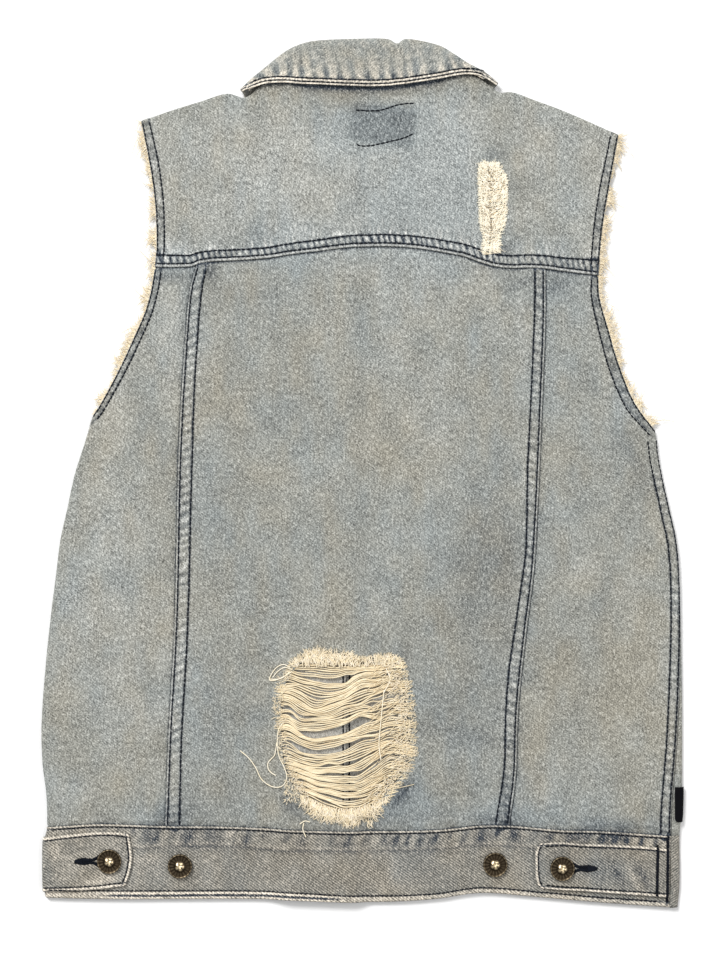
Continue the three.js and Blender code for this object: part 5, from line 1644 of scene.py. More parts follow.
def build_collar(scene):
    skins = palette(scene)
    steps = [("fall", 1 - k / FALL_STEPS) for k in range(FALL_STEPS)]
    steps += [("roll", k / ROLL_STEPS) for k in range(ROLL_STEPS + 1)]
    steps += [("under", k / UNDER_STEPS) for k in range(1, UNDER_STEPS + 1)]
    sections = np.array([collar_section(t, steps) for t in np.linspace(0, 1, COLLAR_COLUMNS)])
    bm, i, j = grid_mesh(COLLAR_COLUMNS, len(steps))
    points = sections[i, j]
    along, across = (
        np.insert(np.cumsum(np.linalg.norm(np.diff(sections, axis=k), axis=2), axis=k), 0, 0, axis=k)
        for k in (0, 1)
    )
    along = along[:, 0]
    d, s = across[i, j], along[i]
    near, far = COLLAR_ROWS
    beat = bars(s, d, 91, 9.6, 0.12, 0.3)
    light, deep = halves(beat)
    ropes = smooth((d - far + 0.4) / 1.0) * fade(d - far - 2.5, 6.5)
    groove = bell(d, near, 0.5) + bell(d, far, 0.5)
    bead = smooth((d + 0.1) / 0.5) * (1 - smooth((d - near + 0.7) / 0.5))
    second = bell(d, (near + far) / 2, 0.75)
    rise = 0.20 * bead + 0.12 * second - 0.30 * groove + 0.55 * beat * ropes
    rise = rise + 0.25 * mottle(s, d, 9, 93) * smooth((d - 5) / 6)
    points[:, 2] += rise * smooth((points[:, 2] - 3.5) / 2)
    wear = 1.6 * bead + 1.15 * second + 0.48 * light * ropes
    wear = wear + 0.16 * halves(mottle(s, d, 5, 94))[0] * smooth((42 - d) / 10)
    # Painted shade in the two stitched grooves; the valleys between the ropes keep their indigo
    dye = 0.85 * deep * ropes + 1.3 * groove + 0.14 * halves(mottle(s, d, 7, 96))[0]
    hue = 0.6 * deep * ropes - 0.25 * light * ropes + 0.5 * mottle(s, d, 8, 97)
    flat = np.column_stack((points[:, 0], -d + to_y(85)))
    cells = np.cross(np.diff(sections, axis=0)[:, :-1], np.diff(sections, axis=1)[:-1])
    cut = {
        "flat": (float(along[-1]) * MM, float(across[:, -1].max()) * MM),
        "area": float(np.linalg.norm(cells, axis=2).sum()) * MM * MM,
    }
    piece = finish_cloth("collar_cloth", bm, points, flat, (wear, dye, hue), 1)
    bm = bmesh.new()
    bm.from_mesh(piece.data)
    top_row = max(bm.faces, key=lambda f: f.calc_center_median().z)
    if top_row.normal.z < 0:
        bmesh.ops.reverse_faces(bm, faces=bm.faces[:])
    bm.to_mesh(piece.data)
    bm.free()
    add_wall(piece, COLLAR_CLOTH * 0.9)
    dress(piece, "denim", [skins["collar"]], ["collar"])
    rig.sheet(piece, **cut, held="folded", rests_on=["yoke"])


# Sewing


def rows_beside(run, offsets, side, t0=0.0, t1=1.0, scale=1.0):
    """Lines beside a panel's edge, each moved by its distance to the given side of the way it runs."""
    t = np.linspace(t0, t1, 240)
    p = run(t)
    along = np.gradient(p, axis=0)
    along /= np.linalg.norm(along, axis=1)[:, None]
    normal = np.column_stack((-along[:, 1], along[:, 0])) * side
    distances = [np.broadcast_to(row_at(row, t * scale), t.shape)[:, None] for row in offsets]
    return [polyline(p + normal * distance) for distance in distances]


def stitch_threads(tree, run, size, seed, lift_by=0.16, dense=False):
    """The visible stitches of one row: short threads that dive in at both ends."""
    rng = np.random.RandomState(seed)
    pitch = size.stitch / MM * (0.28 if dense else 1.0)
    length = length_of(run)
    count = max(1, int(length / pitch))
    radius = size.stitch_thread / MM / 2
    threads = []
    for k in range(count):
        start = (k + 0.02 + 0.02 * rng.uniform(-1, 1)) / count
        stop = (k + 0.95 + 0.02 * rng.uniform(-1, 1)) / count
        flat = run(np.linspace(start, stop, 5))
        flat = flat + 0.12 * rng.uniform(-1, 1)
        if dense:
            along = flat[-1] - flat[0]
            across = np.array((-along[1], along[0]))
            across /= max(1e-6, np.linalg.norm(across))
            flat = flat[2] + across * np.linspace(-1.1, 1.1, 5)[:, None]
            flat = flat + along * np.linspace(-0.5, 0.5, 5)[:, None]
        z = heights_on(tree, flat) + np.array((-0.3, lift_by * 0.8, lift_by, lift_by * 0.8, -0.3))
        threads.append((np.column_stack((flat, z)), radius * np.array((0.7, 1, 1.05, 1, 0.7))))
    return threads


def build_stitching(scene):
    navy = palette(scene)["navy"]
    size = scene.vest_sizes
    tree = cloth_tree(
        "yoke", "centre", "side_left", "side_right", "waistband", "left_tab", "right_tab", "collar_cloth",
    )

    def sewn(rows, seed, *how):
        threads = []
        for k, row in enumerate(rows):
            threads += stitch_threads(tree, row, size, seed + k, *how)
        return threads

    groups = {
        "yoke": [(yoke_edge, YOKE_ROWS, 1, 0.004, 0.996)],
        "princess_left": [(princess_left, PRINCESS_ROWS[0], 1, 0.004, 0.998)],
        "princess_right": [(princess_right, PRINCESS_ROWS[1], -1, 0.004, 0.998)],
        "armhole_left": [
            (curve_px(ARMHOLE_LEFT_YOKE), ARMHOLE_ROWS[0], 1, 0.02, 0.93),
            (curve_px(ARMHOLE_LEFT_SIDE), ARMHOLE_ROWS[2], 1, 0.02, 0.88, ARMHOLE_SHARE),
        ],
        "armhole_right": [
            (curve_px(ARMHOLE_RIGHT_YOKE), ARMHOLE_ROWS[1], -1, 0.02, 0.93),
            (curve_px(ARMHOLE_RIGHT_SIDE), ARMHOLE_ROWS[3], -1, 0.02, 0.98, ARMHOLE_SHARE),
        ],
        "side": [(between(seam_right, 440, 834), SIDE_ROWS, -1)],
        "waistband": [
            (waist_seam, (2.0,), -1, 0.01, 0.995), (curve_px(BACK_HEM), (HEM_ROW,), 1, 0.005, 0.98),
        ],
    }
    for group, (name, lines) in enumerate(groups.items()):
        rows = [row for line in lines for row in rows_beside(*line)]
        lay_threads("stitches_" + name, sewn(rows, 100 + 10 * group), navy)

    threads = []
    for lines in TABS.values():
        middle = to_mm(lines["end"]).mean(axis=0)
        for key in ("top", "bottom", "end"):
            run = curve_px(lines[key])
            side = -1 if key == "top" else 1
            if key == "end":
                a, b = run(np.array([0.45, 0.55]))
                way, inward = b - a, middle - a
                side = 1 if way[0] * inward[1] - way[1] * inward[0] > 0 else -1
            threads += sewn(rows_beside(run, (2.7,), side, 0.03, 0.97), 201)
    lay_threads("stitches_tabs", threads, navy)

    threads = []
    for px, top, low in ((657.5, 845, 896), (667.8, 836, 902)):
        run = line_between((to_x(px), to_y(top)), (to_x(px - 0.8), to_y(low)))
        threads += sewn([run], 211, 0.3, True)
    lay_threads("bar_tacks", threads, navy)

    edge = polyline(np.array([COLLAR_LINES["edge"](t) for t in np.linspace(0.07, 0.93, 80)]))
    lay_threads("stitches_collar", sewn(rows_beside(edge, COLLAR_ROWS, 1), 221), navy)

    patch = [curve_px(rows) for rows in PATCH_SIDES]
    threads = sewn(patch, 231)
    for run in patch:
        flat = run(np.linspace(0, 1, 24))
        line = np.column_stack((flat, heights_on(tree, flat) + 0.02))
        threads.append((line, size.stitch_thread / MM / 2 * 0.45))
    lay_threads("stitches_patch", threads, navy)


def buttonhole(tree, centre_px, side, size):
    """A worked buttonhole: dense navy stitches round a slit, forked at the button."""
    cx, cy = centre_px
    inner, tip = cx + side * 10, cx + side * 35
    rows = [
        [(inner, cy - 5), (cx + side * 16, cy - 1.6), (cx + side * 22, cy - 1.0), (tip, cy + 0.2)],
        [(inner, cy + 5), (cx + side * 16, cy + 1.8), (cx + side * 22, cy + 1.2), (tip, cy + 0.8)],
        [(cx + side * 20, cy - 1.4), (cx + side * 27, cy - 2.0), (tip - side * 2, cy - 0.6)],
        [(cx + side * 20, cy + 1.6), (cx + side * 27, cy + 2.4), (tip - side * 2, cy + 1.2)],
    ]
    threads = []
    for k, row in enumerate(rows):
        threads += stitch_threads(tree, curve_px(row), size, 240 + k, 0.35, dense=True)
    return threads


def build_buttonholes(scene):
    tree = cloth_tree("left_tab", "right_tab")
    for name, side in (("left", -1), ("right", 1)):
        threads = buttonhole(tree, BACK_BUTTONS["button_tab_" + name], side, scene.vest_sizes)
        lay_threads("buttonhole_" + name, threads, palette(scene)["navy"])


# Frayed edges


def frayed_strand(rng, root, out, length, curl, radius, drop):
    """One loose yarn: it leaves the cloth along out, curls to one side and wriggles."""
    along = np.array((-out[1], out[0]))
    steps = np.linspace(0, 1, 6)
    bend = curl * rng.uniform(-1, 1) * steps**2 * length
    wriggle = 0.16 * length * rng.uniform(0.3, 1) * np.sin(steps * rng.uniform(3, 9) + rng.uniform(0, 6))
    wriggle = (wriggle - wriggle[0]) * min(1.0, 3 / length)
    flat = root[:2] + np.outer(steps * length, out) + np.outer(bend + wriggle, along)
    z = root[2] + drop * steps**1.5 + rng.uniform(-0.3, 0.6) * np.sin(np.pi * steps)
    return np.column_stack((flat, np.maximum(z, 0.25))), radius * (1 - 0.45 * steps)


def whole_armhole(yoke_rows, side_rows):
    """The back's armhole, down the yoke and on down the side panel."""
    upper, lower = curve_px(yoke_rows), curve_px(side_rows)
    return polyline(np.vstack((upper(np.linspace(0, 1, 80)), lower(np.linspace(0.01, 1, 100)))))


def build_fringes(scene):
    size = scene.vest_sizes
    back, front = size.strands, size.strands // 3
    edges = [
        ("back_left", whole_armhole(ARMHOLE_LEFT_YOKE, ARMHOLE_LEFT_SIDE), -1, 1, 0.0, 0.93, back, 5.6),
        ("back_right", whole_armhole(ARMHOLE_RIGHT_YOKE, ARMHOLE_RIGHT_SIDE), 1, 1, 0.0, 0.97, back, 6.0),
        ("front_left", curve_px(FRONT_ARMHOLE_LEFT), -1, -1, 0.03, 0.94, front, 4.6),
        ("front_right", curve_px(FRONT_ARMHOLE_RIGHT), 1, -1, 0.03, 0.8, front, 4.6),
    ]
    for seed, (name, run, side, layer, t0, t1, count, length) in enumerate(edges):
        rng = np.random.RandomState(300 + seed)
        t = np.sort(rng.uniform(t0, t1, count))
        ahead, behind = run(np.minimum(1, t + 0.004)), run(np.maximum(0, t - 0.004))
        out = np.column_stack((behind[:, 1] - ahead[:, 1], ahead[:, 0] - behind[:, 0]))
        out /= np.linalg.norm(out, axis=1)[:, None]
        out *= np.where(out[:, :1] * side < 0, -1, 1)
        roots = place(run(t), layer, -0.55)
        tufts = 0.8 + 0.75 * mottle(t * 300, 0, 6, 310 + seed)
        threads = []
        for k in range(count):
            root = roots[k].copy()
            root[:2] -= out[k] * rng.uniform(0.2, 1.0)
            reach_out = length * tufts[k] * rng.uniform(0.3, 1.1) * (1.9 if k % 23 == 0 else 1.0)
            drop = (-2.2 if layer > 0 else 0.2) * rng.uniform(0.2, 1.0)
            radius = size.yarn / MM / 2 * rng.uniform(0.32, 0.7)
            threads.append(frayed_strand(rng, root, out[k], reach_out, 1.1, radius, drop))
        lay_threads("fray_" + name, threads, palette(scene)["fray"], ["fringe_armhole_" + name])


def build_rip(scene):
    """Weft threads across the rip, in bundles between the slits, with frayed ends all round."""
    skins = palette(scene)
    yarn = scene.vest_sizes.yarn / MM / 2
    rng = np.random.RandomState(400)
    left, right = through(RIP_LEFT), through(RIP_RIGHT)
    slit_y = [through(list(zip(SLIT_PX, ys))) for ys, _ in SLITS]
    radius = yarn * 1.08
    edge = radius / MM_PER_PX

    def slit(k, px):
        """The middle of a slit, and half its opening."""
        rows = SLITS[k][1]
        return slit_y[k](px), np.maximum(np.interp(px, *zip(*rows)) if rows else 0 * px, 0.1)

    threads = []
    for k in range(len(SLITS) - 1):
        px = np.linspace(290, 405, 60)
        (upper, upper_half), (lower, lower_half) = slit(k, px), slit(k + 1, px)
        room = float(np.percentile(lower - upper - upper_half - lower_half, 65))
        count = max(1, round(room / (edge * 2.3)))
        for m in range(count):
            share = 0.5 if count == 1 else np.clip((m + 0.15 * rng.uniform(-1, 1)) / (count - 1), 0, 1)
            y_left, y_right = (
                float(slit_y[k](end) * (1 - share) + slit_y[k + 1](end) * share) for end in (276.0, 410.0)
            )
            x0 = float(left(y_left)) - 1 + 3 * rng.uniform(-1, 1)
            x1 = float(right(y_right)) + 1 + 3 * rng.uniform(-1, 1)
            breaks = rng.uniform()
            if breaks < 0.24:
                x1 = rng.uniform(376, 402)
            elif breaks > 0.93:
                x0 = rng.uniform(294, 312)
            px, t = np.linspace(x0, x1, 46), np.linspace(0, 1, 46)
            wander = share + 0.25 / count * mottle(px, 11 * m + 3 * k, 24, 401)
            wander = np.clip(wander + 0.5 / count * mottle(px, 7 * m + 5 * k, 60, 405), -0.06, 1.06)
            (upper, upper_half), (lower, lower_half) = slit(k, px), slit(k + 1, px)
            top, low = upper + upper_half + edge, lower - lower_half - edge
            half = np.maximum((low - top) / 2, 0.1)
            py = (top + low) / 2 + half * (2 * wander - 1)
            py = py + 1.2 * mottle(px, 9 * k, 15, 410) + 0.5 * mottle(px, 5 * m + k, 8, 430)
            py = py + 0.5 * np.clip((px - 385) / 12, 0, 1) * mottle(px, 3 * m + k, 4, 431)
            loose = 3.0 * rng.uniform(-1, 1) * (breaks < 0.24) * np.clip(t * 6 - 5, 0, 1) ** 2
            flat = to_mm(np.column_stack((px, py + loose)))
            crowd = np.clip(1 - (low - top) / (count * edge * 1.5), 0, 1)
            from_end = np.minimum(t, 1 - t)
            raised = 0.45 * mottle(px, 13 * m + k, 22, 440) - 0.3 - 0.5 * np.sin(np.pi * t)
            raised = raised + crowd * 1.2 * ((m % 2) - 0.3) + 0.5 * (1 - np.clip(from_end * 9, 0, 1))
            ends = np.clip(from_end * 22, 0.35, 1)
            girth = ends * rng.uniform(0.68, 1.12) * (1 + 0.22 * mottle(px, 17 * m + k, 6, 445))
            threads.append((on_back(flat, raised), radius * girth))
    for _ in range(60):
        py, px = rng.uniform(672, 800), rng.uniform(366, 396)
        length, climb = rng.uniform(8, 24), rng.uniform(0.1, 1.0)
        along = np.linspace(0, 1, 12)
        way = py - climb * length * along + 1.6 * mottle(px + 9 * along, py, 4, 446)
        flat = to_mm(np.column_stack((px + length * along, way)))
        threads.append((on_back(flat, 0.55 + 0.3 * np.sin(np.pi * along)), radius * 0.42))
    lay_threads("rip_threads", threads, skins["cream"], sides=1)

    ends = []

    def tuft(px, py, angle, spread, length, thick=0.5, curl=3.2):
        """A frayed end at a place in the photo; an angle of 0 runs right and 90 runs up."""
        root = to_mm([(px, py)])[0]
        steps = np.linspace(0, 1, 6)
        heading = math.radians(angle + spread * rng.uniform(-1, 1))
        heading = heading + curl * rng.uniform(-1, 1) * (steps - 0.25)
        run = np.cumsum(np.column_stack((np.cos(heading), np.sin(heading))), axis=0) * length / 5
        flat = root + run - run[0]
        z = surface_at(*root) + rng.uniform(0.0, 0.9) + 0.35 * steps
        z = z + rng.uniform(-0.1, 0.6) * np.sin(np.pi * steps)
        girth = yarn * thick * rng.uniform(0.55, 1.1) * (1 - 0.6 * steps**2)
        ends.append((np.column_stack((flat, z)), girth))

    top, low = through(FRAY_TOP), through(FRAY_LOW)
    for py in rng.uniform(660, 802, 300):
        px = float(left(py)) + rng.uniform(-2, 8)
        tuft(px, py, 180 if rng.uniform() < 0.4 else 90, 75, rng.uniform(1.2, 3.4), 0.6)
    for py in rng.uniform(656, 806, 640):
        tuft(float(right(py)) + rng.uniform(-20, 0), py, 30, 80, rng.uniform(1.4, 4.0), 0.62, 3.6)
    for py in rng.uniform(672, 800, 70):
        tuft(float(right(py)) + rng.uniform(-30, -12), py, 24, 20, rng.uniform(6, 13), 0.8, 1.3)
    for px in rng.uniform(290, 403, 400):
        base = 664 + rng.uniform(-5, 3)
        tuft(px, base, 97, 24, (base - float(top(px))) * 0.72 * rng.uniform(0.7, 1.12), 0.85, 2.2)
    for px in rng.uniform(300, 388, 340):
        base = float(slit_y[-1](px)) - rng.uniform(-1, 4)
        tuft(px, base, -84, 28, max(1.5, float(low(px)) - base) * 0.72 * rng.uniform(0.7, 1.12), 0.85, 2.4)
    for _ in range(110):
        tuft(rng.uniform(285, 306), rng.uniform(780, 802), 225, 120, rng.uniform(1.2, 3.0), 0.6)
    for px, py in ((312, 655), (317, 652), (350, 655), (353, 822), (357, 820), (370, 822), (347, 822)):
        for _ in range(14):
            x, y = px + rng.uniform(-3, 3), py + rng.uniform(-2, 2)
            tuft(x, y, 90 if py < 700 else -90, 30, rng.uniform(2, 4.6), 0.75, 2.6)
    lay_threads("rip_fray", ends, skins["fray"])

    strands = [(on_back(curve_px(rows)(np.linspace(0, 1, 40)), 0.75), yarn * 0.75) for rows in LOOSE_THREADS]
    lay_threads("loose_threads", strands, skins["fray"], sides=1)


def build_yoke_patch(scene):
    """The worn-through strip on the yoke: short weft threads under a fuzz of broken ends."""
    rng = np.random.RandomState(500)
    tree = cloth_tree("yoke")
    left, right = through(STRIP_LEFT), through(STRIP_RIGHT)
    radius = scene.vest_sizes.yarn / MM / 2
    threads, wefts, flecks = [], [], []

    def strand(into, px, py, turn, length, thick, raised, curl=0.5):
        root = to_mm([(px, py)])[0]
        start = np.array((*root, height_on(tree, *root) + raised))
        way = np.array((math.cos(turn), math.sin(turn)))
        into.append(frayed_strand(rng, start, way, length, curl, radius * thick, 0.3))

    for py in np.arange(164.5, 254, radius * 2 / MM_PER_PX * 1.15):
        px = np.linspace(float(left(py)) - rng.uniform(-1, 1), float(right(py)) + rng.uniform(-1, 1), 12)
        sag = 0.8 * np.sin(np.linspace(0, np.pi, 12)) * rng.uniform(-0.4, 1.0)
        y = py + sag - 0.10 * (px - 492) + 0.7 * mottle(px, py, 7, 501)
        flat = to_mm(np.column_stack((px, y)))
        z = heights_on(tree, flat) + 0.15 + 0.2 * rng.uniform(-1, 1)
        wefts.append((np.column_stack((flat, z)), radius * rng.uniform(0.6, 0.9)))
    for _ in range(720):
        py = rng.uniform(164, 250)
        share = rng.uniform(0.04, 0.96)
        px = float(left(py)) * (1 - share) + float(right(py)) * share
        lean = 0.75 + 0.35 * rng.uniform(-1, 1)
        turn = lean if share > 0.42 else math.pi - lean - 0.2
        strand(threads, px, py, turn, rng.uniform(2.0, 4.0), rng.uniform(0.55, 0.9), 0.55)
    for _ in range(64):
        py = rng.uniform(168, 242)
        px = float(left(py)) * 0.62 + float(right(py)) * 0.38 + rng.uniform(-5, 6)
        strand(flecks, px, py, 2.2 + 0.4 * rng.uniform(-1, 1), rng.uniform(0.8, 1.7), 0.42, 0.95, 0.2)
    for _ in range(300):
        py, side = rng.uniform(163, 246), rng.choice((-1, 1))
        px = float(left(py)) if side < 0 else float(right(py))
        turn = 0.45 * rng.uniform(-1.3, 1) if side > 0 else math.pi - 0.45 * rng.uniform(-1.3, 1)
        strand(threads, px - 1.2 * side, py, turn, rng.uniform(1.3, 2.6), rng.uniform(0.4, 0.65), 0.35)
    for k in range(150):
        x0, py, middle, up, shortest, longest = STRIP_BRUSHES[k % 2]
        px = rng.uniform(x0, 498)
        turn = up * (math.pi / 2 - 0.085 * (px - middle)) + 0.25 * rng.uniform(-1, 1)
        strand(threads, px, py, turn, rng.uniform(shortest, longest), 0.5, 0.7)
    skins = palette(scene)
    lay_threads("yoke_patch_threads", threads, skins["fluff"])
    lay_threads("yoke_patch_wefts", wefts, skins["fray"])
    lay_threads("yoke_patch_flecks", flecks, skins["fleck"])


# Buttons and label


BUTTON_PROFILE = [
    # share of the radius, height in mm, how rubbed it is
    (0.0, 3.55, 0.9), (0.08, 3.70, 1.0), (0.18, 3.72, 1.0), (0.29, 3.45, 0.8), (0.37, 2.95, 0.35),
    (0.42, 2.45, 0.03), (0.48, 2.25, 0.03), (0.60, 2.35, 0.08), (0.76, 2.4, 0.08), (0.86, 2.4, 0.02),
    (0.90, 2.75, 0.2), (0.94, 3.0, 0.34), (0.97, 2.8, 0.22), (1.0, 2.2, 0.05), (1.0, 1.2, 0.0),
    (0.93, 0.5, 0.0), (0.80, 0.0, 0.0), (0.0, 0.0, 0.0),
]
# The profile's row at which the rim is reached, and the profile's height in mm
BUTTON_RIM = 13
BUTTON_HEIGHT = 4.0


def make_button(name, centre, radius, height, downwards):
    """A tack button turned from its profile, with fine notches in its ring and a lobed centre."""
    scale = height / BUTTON_HEIGHT
    bm = bmesh.new()
    verts = [bm.verts.new((radius * share, 0, z * scale)) for share, z, _ in BUTTON_PROFILE]
    edges = [bm.edges.new(pair) for pair in zip(verts, verts[1:])]
    bmesh.ops.spin(
        bm, geom=verts + edges, cent=(0, 0, 0), axis=(0, 0, 1), angle=2 * math.pi, steps=64,
        use_merge=True, use_duplicate=False,
    )
    bmesh.ops.remove_doubles(bm, verts=bm.verts[:], dist=1e-4)
    bmesh.ops.recalc_face_normals(bm, faces=bm.faces[:])
    reach_out = [math.hypot(v.co.x, v.co.y) / radius for v in bm.verts]
    shares, _, tones = zip(*BUTTON_PROFILE[:BUTTON_RIM + 1])
    rubbed = np.interp(reach_out, shares, tones)
    rubbed = np.where([v.co.z > 1.6 * scale for v in bm.verts], rubbed, 0)
    for k, (vert, share) in enumerate(zip(bm.verts, reach_out)):
        turn = math.atan2(vert.co.y, vert.co.x)
        if share > 0.1:
            rubbed[k] *= 0.62 + 0.5 * math.cos((5 if share < 0.45 else 18) * turn + 0.8)
        if 0.5 < share < 0.8 and vert.co.z > 1.5 * scale:
            vert.co.z += 0.12 * scale * (1 if math.sin(turn * 16) > 0 else -1)
        if 0.05 < share < 0.33 and vert.co.z > 1.5 * scale:
            vert.co.z += 0.22 * scale * math.cos(turn * 4 + 0.6)
    if downwards:
        bmesh.ops.rotate(bm, verts=bm.verts[:], cent=(0, 0, 0), matrix=Matrix.Rotation(math.pi, 3, "X"))
    for vert in bm.verts:
        vert.co = (vert.co + Vector(centre)) * MM
    for face in bm.faces:
        face.smooth = True
    mesh = bpy.data.meshes.new(name)
    bm.to_mesh(mesh)
    bm.free()
    paint(mesh, "wear", rubbed)
    return new_piece(name, mesh)


def build_buttons(scene):
    skins = palette(scene)
    for name in sorted(frame["nodes"]):
        if not name.startswith("button_"):
            continue
        low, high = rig.box(name)
        below = name.startswith("button_front")
        x, y = (low.x + high.x) / 2 / MM, (low.y + high.y) / 2 / MM
        height = (high.z - low.z) / MM
        z = high.z / MM if below else low.z / MM
        piece = make_button(name.replace("button", "tack"), (x, y, z), BUTTON_RADIUS, height, below)
        dress(piece, "brass", [skins["brass"]], [name])


def build_label(scene):
    left, right, top, low = to_x(674.6), to_x(683.6), to_y(787), to_y(822)
    bottom = curve(np.array([
        (left, low + 2.0), (left + 1.2, low + 0.4), (left + 3, low), (right - 2.4, low), (right, low + 1.6),
    ]))
    start, end = bottom(ENDS)
    outline = {
        "top": line_between((left, top), (right, top)), "bottom": bottom,
        "left": line_between((left, top), start), "right": line_between((right, top), end),
    }
    lay_panel(
        "label_tape", "side_label", outline, 1, stations(6.5, 0.5), stations(25, 0.8), [], "label",
        [palette(scene)["label"]] * 2, 0.8, "folded", ["side_right"], raise_by=1.9,
    )


# Stage

# Metres: half the floor's side, and its height just under the vest
FLOOR_HALF, FLOOR_Z = 3.0, -0.0003
# Lamps: name, place and size in metres, and the share of the key light's power
LAMPS = [("key", (-1.9, 2.9, 3.9), 1.9, 1.0), ("side", (3.0, 0.4, 3.2), 2.4, 0.22)]


def build_stage(scene):
    tones = scene.vest_colours
    bm = bmesh.new()
    bmesh.ops.create_grid(bm, x_segments=12, y_segments=12, size=FLOOR_HALF)
    mesh = bpy.data.meshes.new("floor")
    bm.to_mesh(mesh)
    bm.free()
    floor = bpy.data.objects.new("floor", mesh)
    floor.location.z = FLOOR_Z
    scene.collection.objects.link(floor)
    floor.data.materials.append(floor_material("pale_paper", tuple(tones.floor)))
    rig.stage(floor)

    world = bpy.data.worlds.new("studio")
    scene.world = world
    world.use_nodes = True
    light, strength = world.node_tree.nodes["Background"].inputs[:2]
    light.default_value = (1.0, 1.0, 1.0, 1)
    strength.default_value = scene.vest_sizes.fill_light

    for name, place_at, size, share in LAMPS:
        data = bpy.data.lights.new(name, "AREA")
        data.shape = "DISK"
        data.size = size
        data.energy = scene.vest_sizes.key_light * share
        lamp = bpy.data.objects.new(name, data)
        lamp.location = place_at
        lamp.rotation_euler = (-Vector(place_at)).to_track_quat("-Z", "Y").to_euler()
        scene.collection.objects.link(lamp)

    camera = bpy.data.cameras.new("camera")
    camera.lens = 85
    camera.sensor_width = 36
    camera.clip_end = 20
    holder = bpy.data.objects.new("camera", camera)
    width_px, height_px = PHOTO_PX
    height = height_px * MM_PER_PX * MM * camera.lens / camera.sensor_width + BACK_FACE * MM
    holder.location = (to_x(width_px / 2) * MM, to_y(height_px / 2) * MM, height)
    scene.collection.objects.link(holder)
    scene.camera = holder
    scene.view_settings.view_transform = "Standard"


# The add-on


def colour(name, description, value):
    return bpy.props.FloatVectorProperty(
        name=name, description=description, default=value, subtype="COLOR", size=3, min=0, max=1,
    )


def length(name, description, value):
    return bpy.props.FloatProperty(name=name, description=description, default=value, unit="LENGTH")


class VestSizes(bpy.types.PropertyGroup):
    cloth: length("Cloth", "Thickness of one layer of denim", 0.001)
    stitch: length("Stitch", "Length of one stitch", 0.0034)
    stitch_thread: length("Sewing thread", "Diameter of the sewing thread", 0.0011)
    yarn: length("Yarn", "Diameter of a frayed yarn", 0.00105)
    strands: bpy.props.IntProperty(
        name="Strands", description="Loose yarns along one armhole", default=1150,
    )
    key_light: bpy.props.FloatProperty(
        name="Key light", description="Power of the main lamp", default=225.0, unit="POWER",
    )
    fill_light: bpy.props.FloatProperty(
        name="Fill light", description="Strength of the light from all round", default=0.46,
    )


class VestColours(bpy.types.PropertyGroup):
    denim: colour("Denim", "Washed denim of the body", (0.272, 0.277, 0.253))
    waistband: colour("Waistband", "Denim of the waistband and tabs", (0.215, 0.207, 0.183))
    inside: colour("Inside", "The cloth's inner face", (0.40, 0.39, 0.36))
    # The deep blue of kept indigo, also used for the painted shade in grooves, gaps, folds and below the collar
    dye: colour("Dye", "Denim that kept its dye", (0.030, 0.041, 0.057))
    worn: colour("Worn", "Denim worn to its white yarns", (0.62, 0.62, 0.585))
    bead: colour("Bead", "Worn edges of the waistband and tabs", (0.80, 0.72, 0.60))
    stitches: colour("Stitches", "Sewing thread", (0.005, 0.007, 0.012))
    threads: colour("Threads", "Weft yarns", (1.0, 0.90, 0.66))
    shaded: colour("Shaded threads", "Weft yarns with some dirt", (0.80, 0.66, 0.43))
    fray: colour("Fray", "Frayed ends, bleached", (1.0, 0.95, 0.82))
    fluff: colour("Fluff", "Worn-through strip of the yoke, its loose ends", (1.0, 0.99, 0.88))
    flecks: colour("Flecks", "Darker ends in the yoke strip", (0.50, 0.37, 0.22))
    brass: colour("Brass", "Buttons, in their hollows", (0.020, 0.012, 0.007))
    brass_rubbed: colour("Rubbed brass", "Buttons, where they are rubbed", (0.98, 0.80, 0.52))
    label: colour("Label", "Side label", (0.003, 0.003, 0.004))
    floor: colour("Floor", "Backdrop", (0.98, 0.98, 0.98))


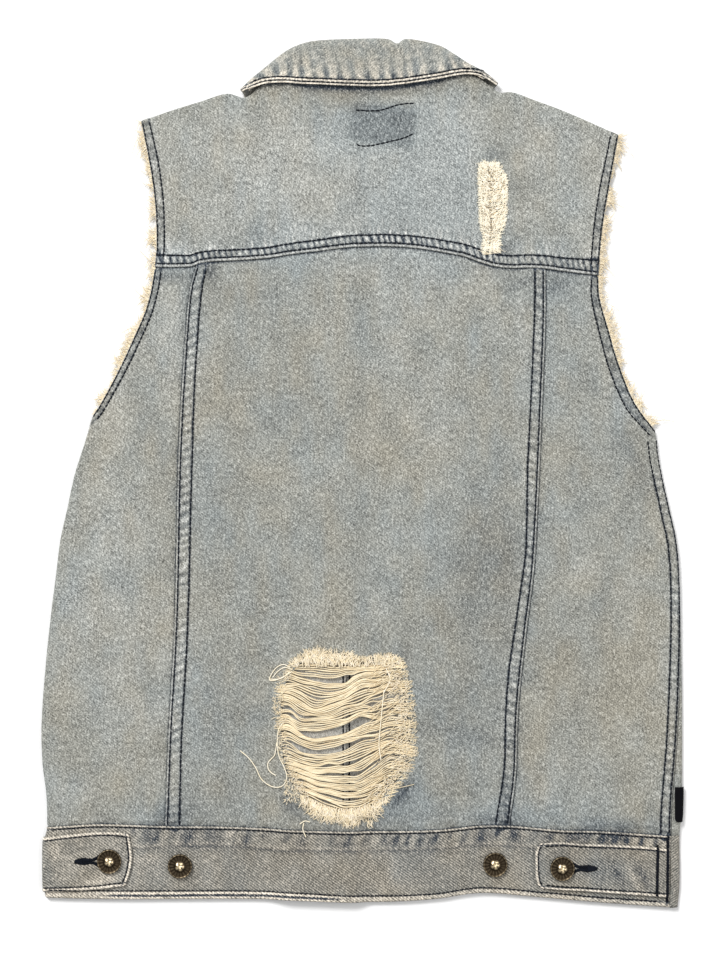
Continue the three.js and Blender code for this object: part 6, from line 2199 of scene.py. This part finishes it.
STEPS = [
    ("back_panels", "Back panels", "Yoke, centre and side panels with their felled seams", build_back_panels),
    ("waistband", "Waistband", "Back waistband and its two tabs", build_waistband),
    ("fronts", "Fronts", "The two fronts and their waistbands, underneath", build_fronts),
    ("collar", "Collar", "The turned-down collar", build_collar),
    ("buttons", "Buttons", "Antique brass tack buttons", build_buttons),
    ("label", "Label", "The bare side label", build_label),
    ("stitching", "Stitching", "Rows of navy stitches", build_stitching),
    ("buttonholes", "Buttonholes", "Worked buttonholes of the tabs", build_buttonholes),
    ("placket", "Placket", "Stitching down the overlapping fronts", build_placket),
    ("fringes", "Frayed armholes", "Loose yarns along the cut armholes", build_fringes),
    ("rip", "Rip", "Weft threads and fray of the rip", build_rip),
    ("yoke_patch", "Yoke patch", "Worn strip on the yoke", build_yoke_patch),
    ("stage", "Stage", "Floor, lights and camera", build_stage),
]


def make_operator(key, label, text, build):
    """One operator for each piece or group of like pieces."""

    def execute(self, context):
        build(context.scene)
        return {"FINISHED"}

    return type(
        f"VEST_OT_{key}", (bpy.types.Operator,),
        {"bl_idname": f"vest.{key}", "bl_label": label, "__doc__": text, "execute": execute},
    )


OPERATORS = [make_operator(*step) for step in STEPS]


class VEST_PT_sidebar(bpy.types.Panel):
    """Lists the vest's steps, sizes and colours."""

    bl_label = "Denim vest"
    bl_idname = "VEST_PT_sidebar"
    bl_space_type = "VIEW_3D"
    bl_region_type = "UI"
    bl_category = "Vest"

    def draw(self, context):
        for key, label, _, _ in STEPS:
            self.layout.operator(f"vest.{key}", text=label)
        for group in (context.scene.vest_sizes, context.scene.vest_colours):
            for name in group.__annotations__:
                self.layout.prop(group, name)


CLASSES = [VestSizes, VestColours, *OPERATORS, VEST_PT_sidebar]


def register():
    for cls in CLASSES:
        bpy.utils.register_class(cls)
    bpy.types.Scene.vest_sizes = bpy.props.PointerProperty(type=VestSizes)
    bpy.types.Scene.vest_colours = bpy.props.PointerProperty(type=VestColours)


def unregister():
    del bpy.types.Scene.vest_sizes
    del bpy.types.Scene.vest_colours
    for cls in reversed(CLASSES):
        bpy.utils.unregister_class(cls)


def main():
    register()
    for key, _, _, _ in STEPS:
        getattr(bpy.ops.vest, key)()
    bpy.context.view_layer.update()
    visual = [list(corner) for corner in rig.bounds()]
    with open("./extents.json", "w") as file:
        json.dump({"cad": CAD_BOX, "visual": visual}, file)


if __name__ == "__main__":
    main()
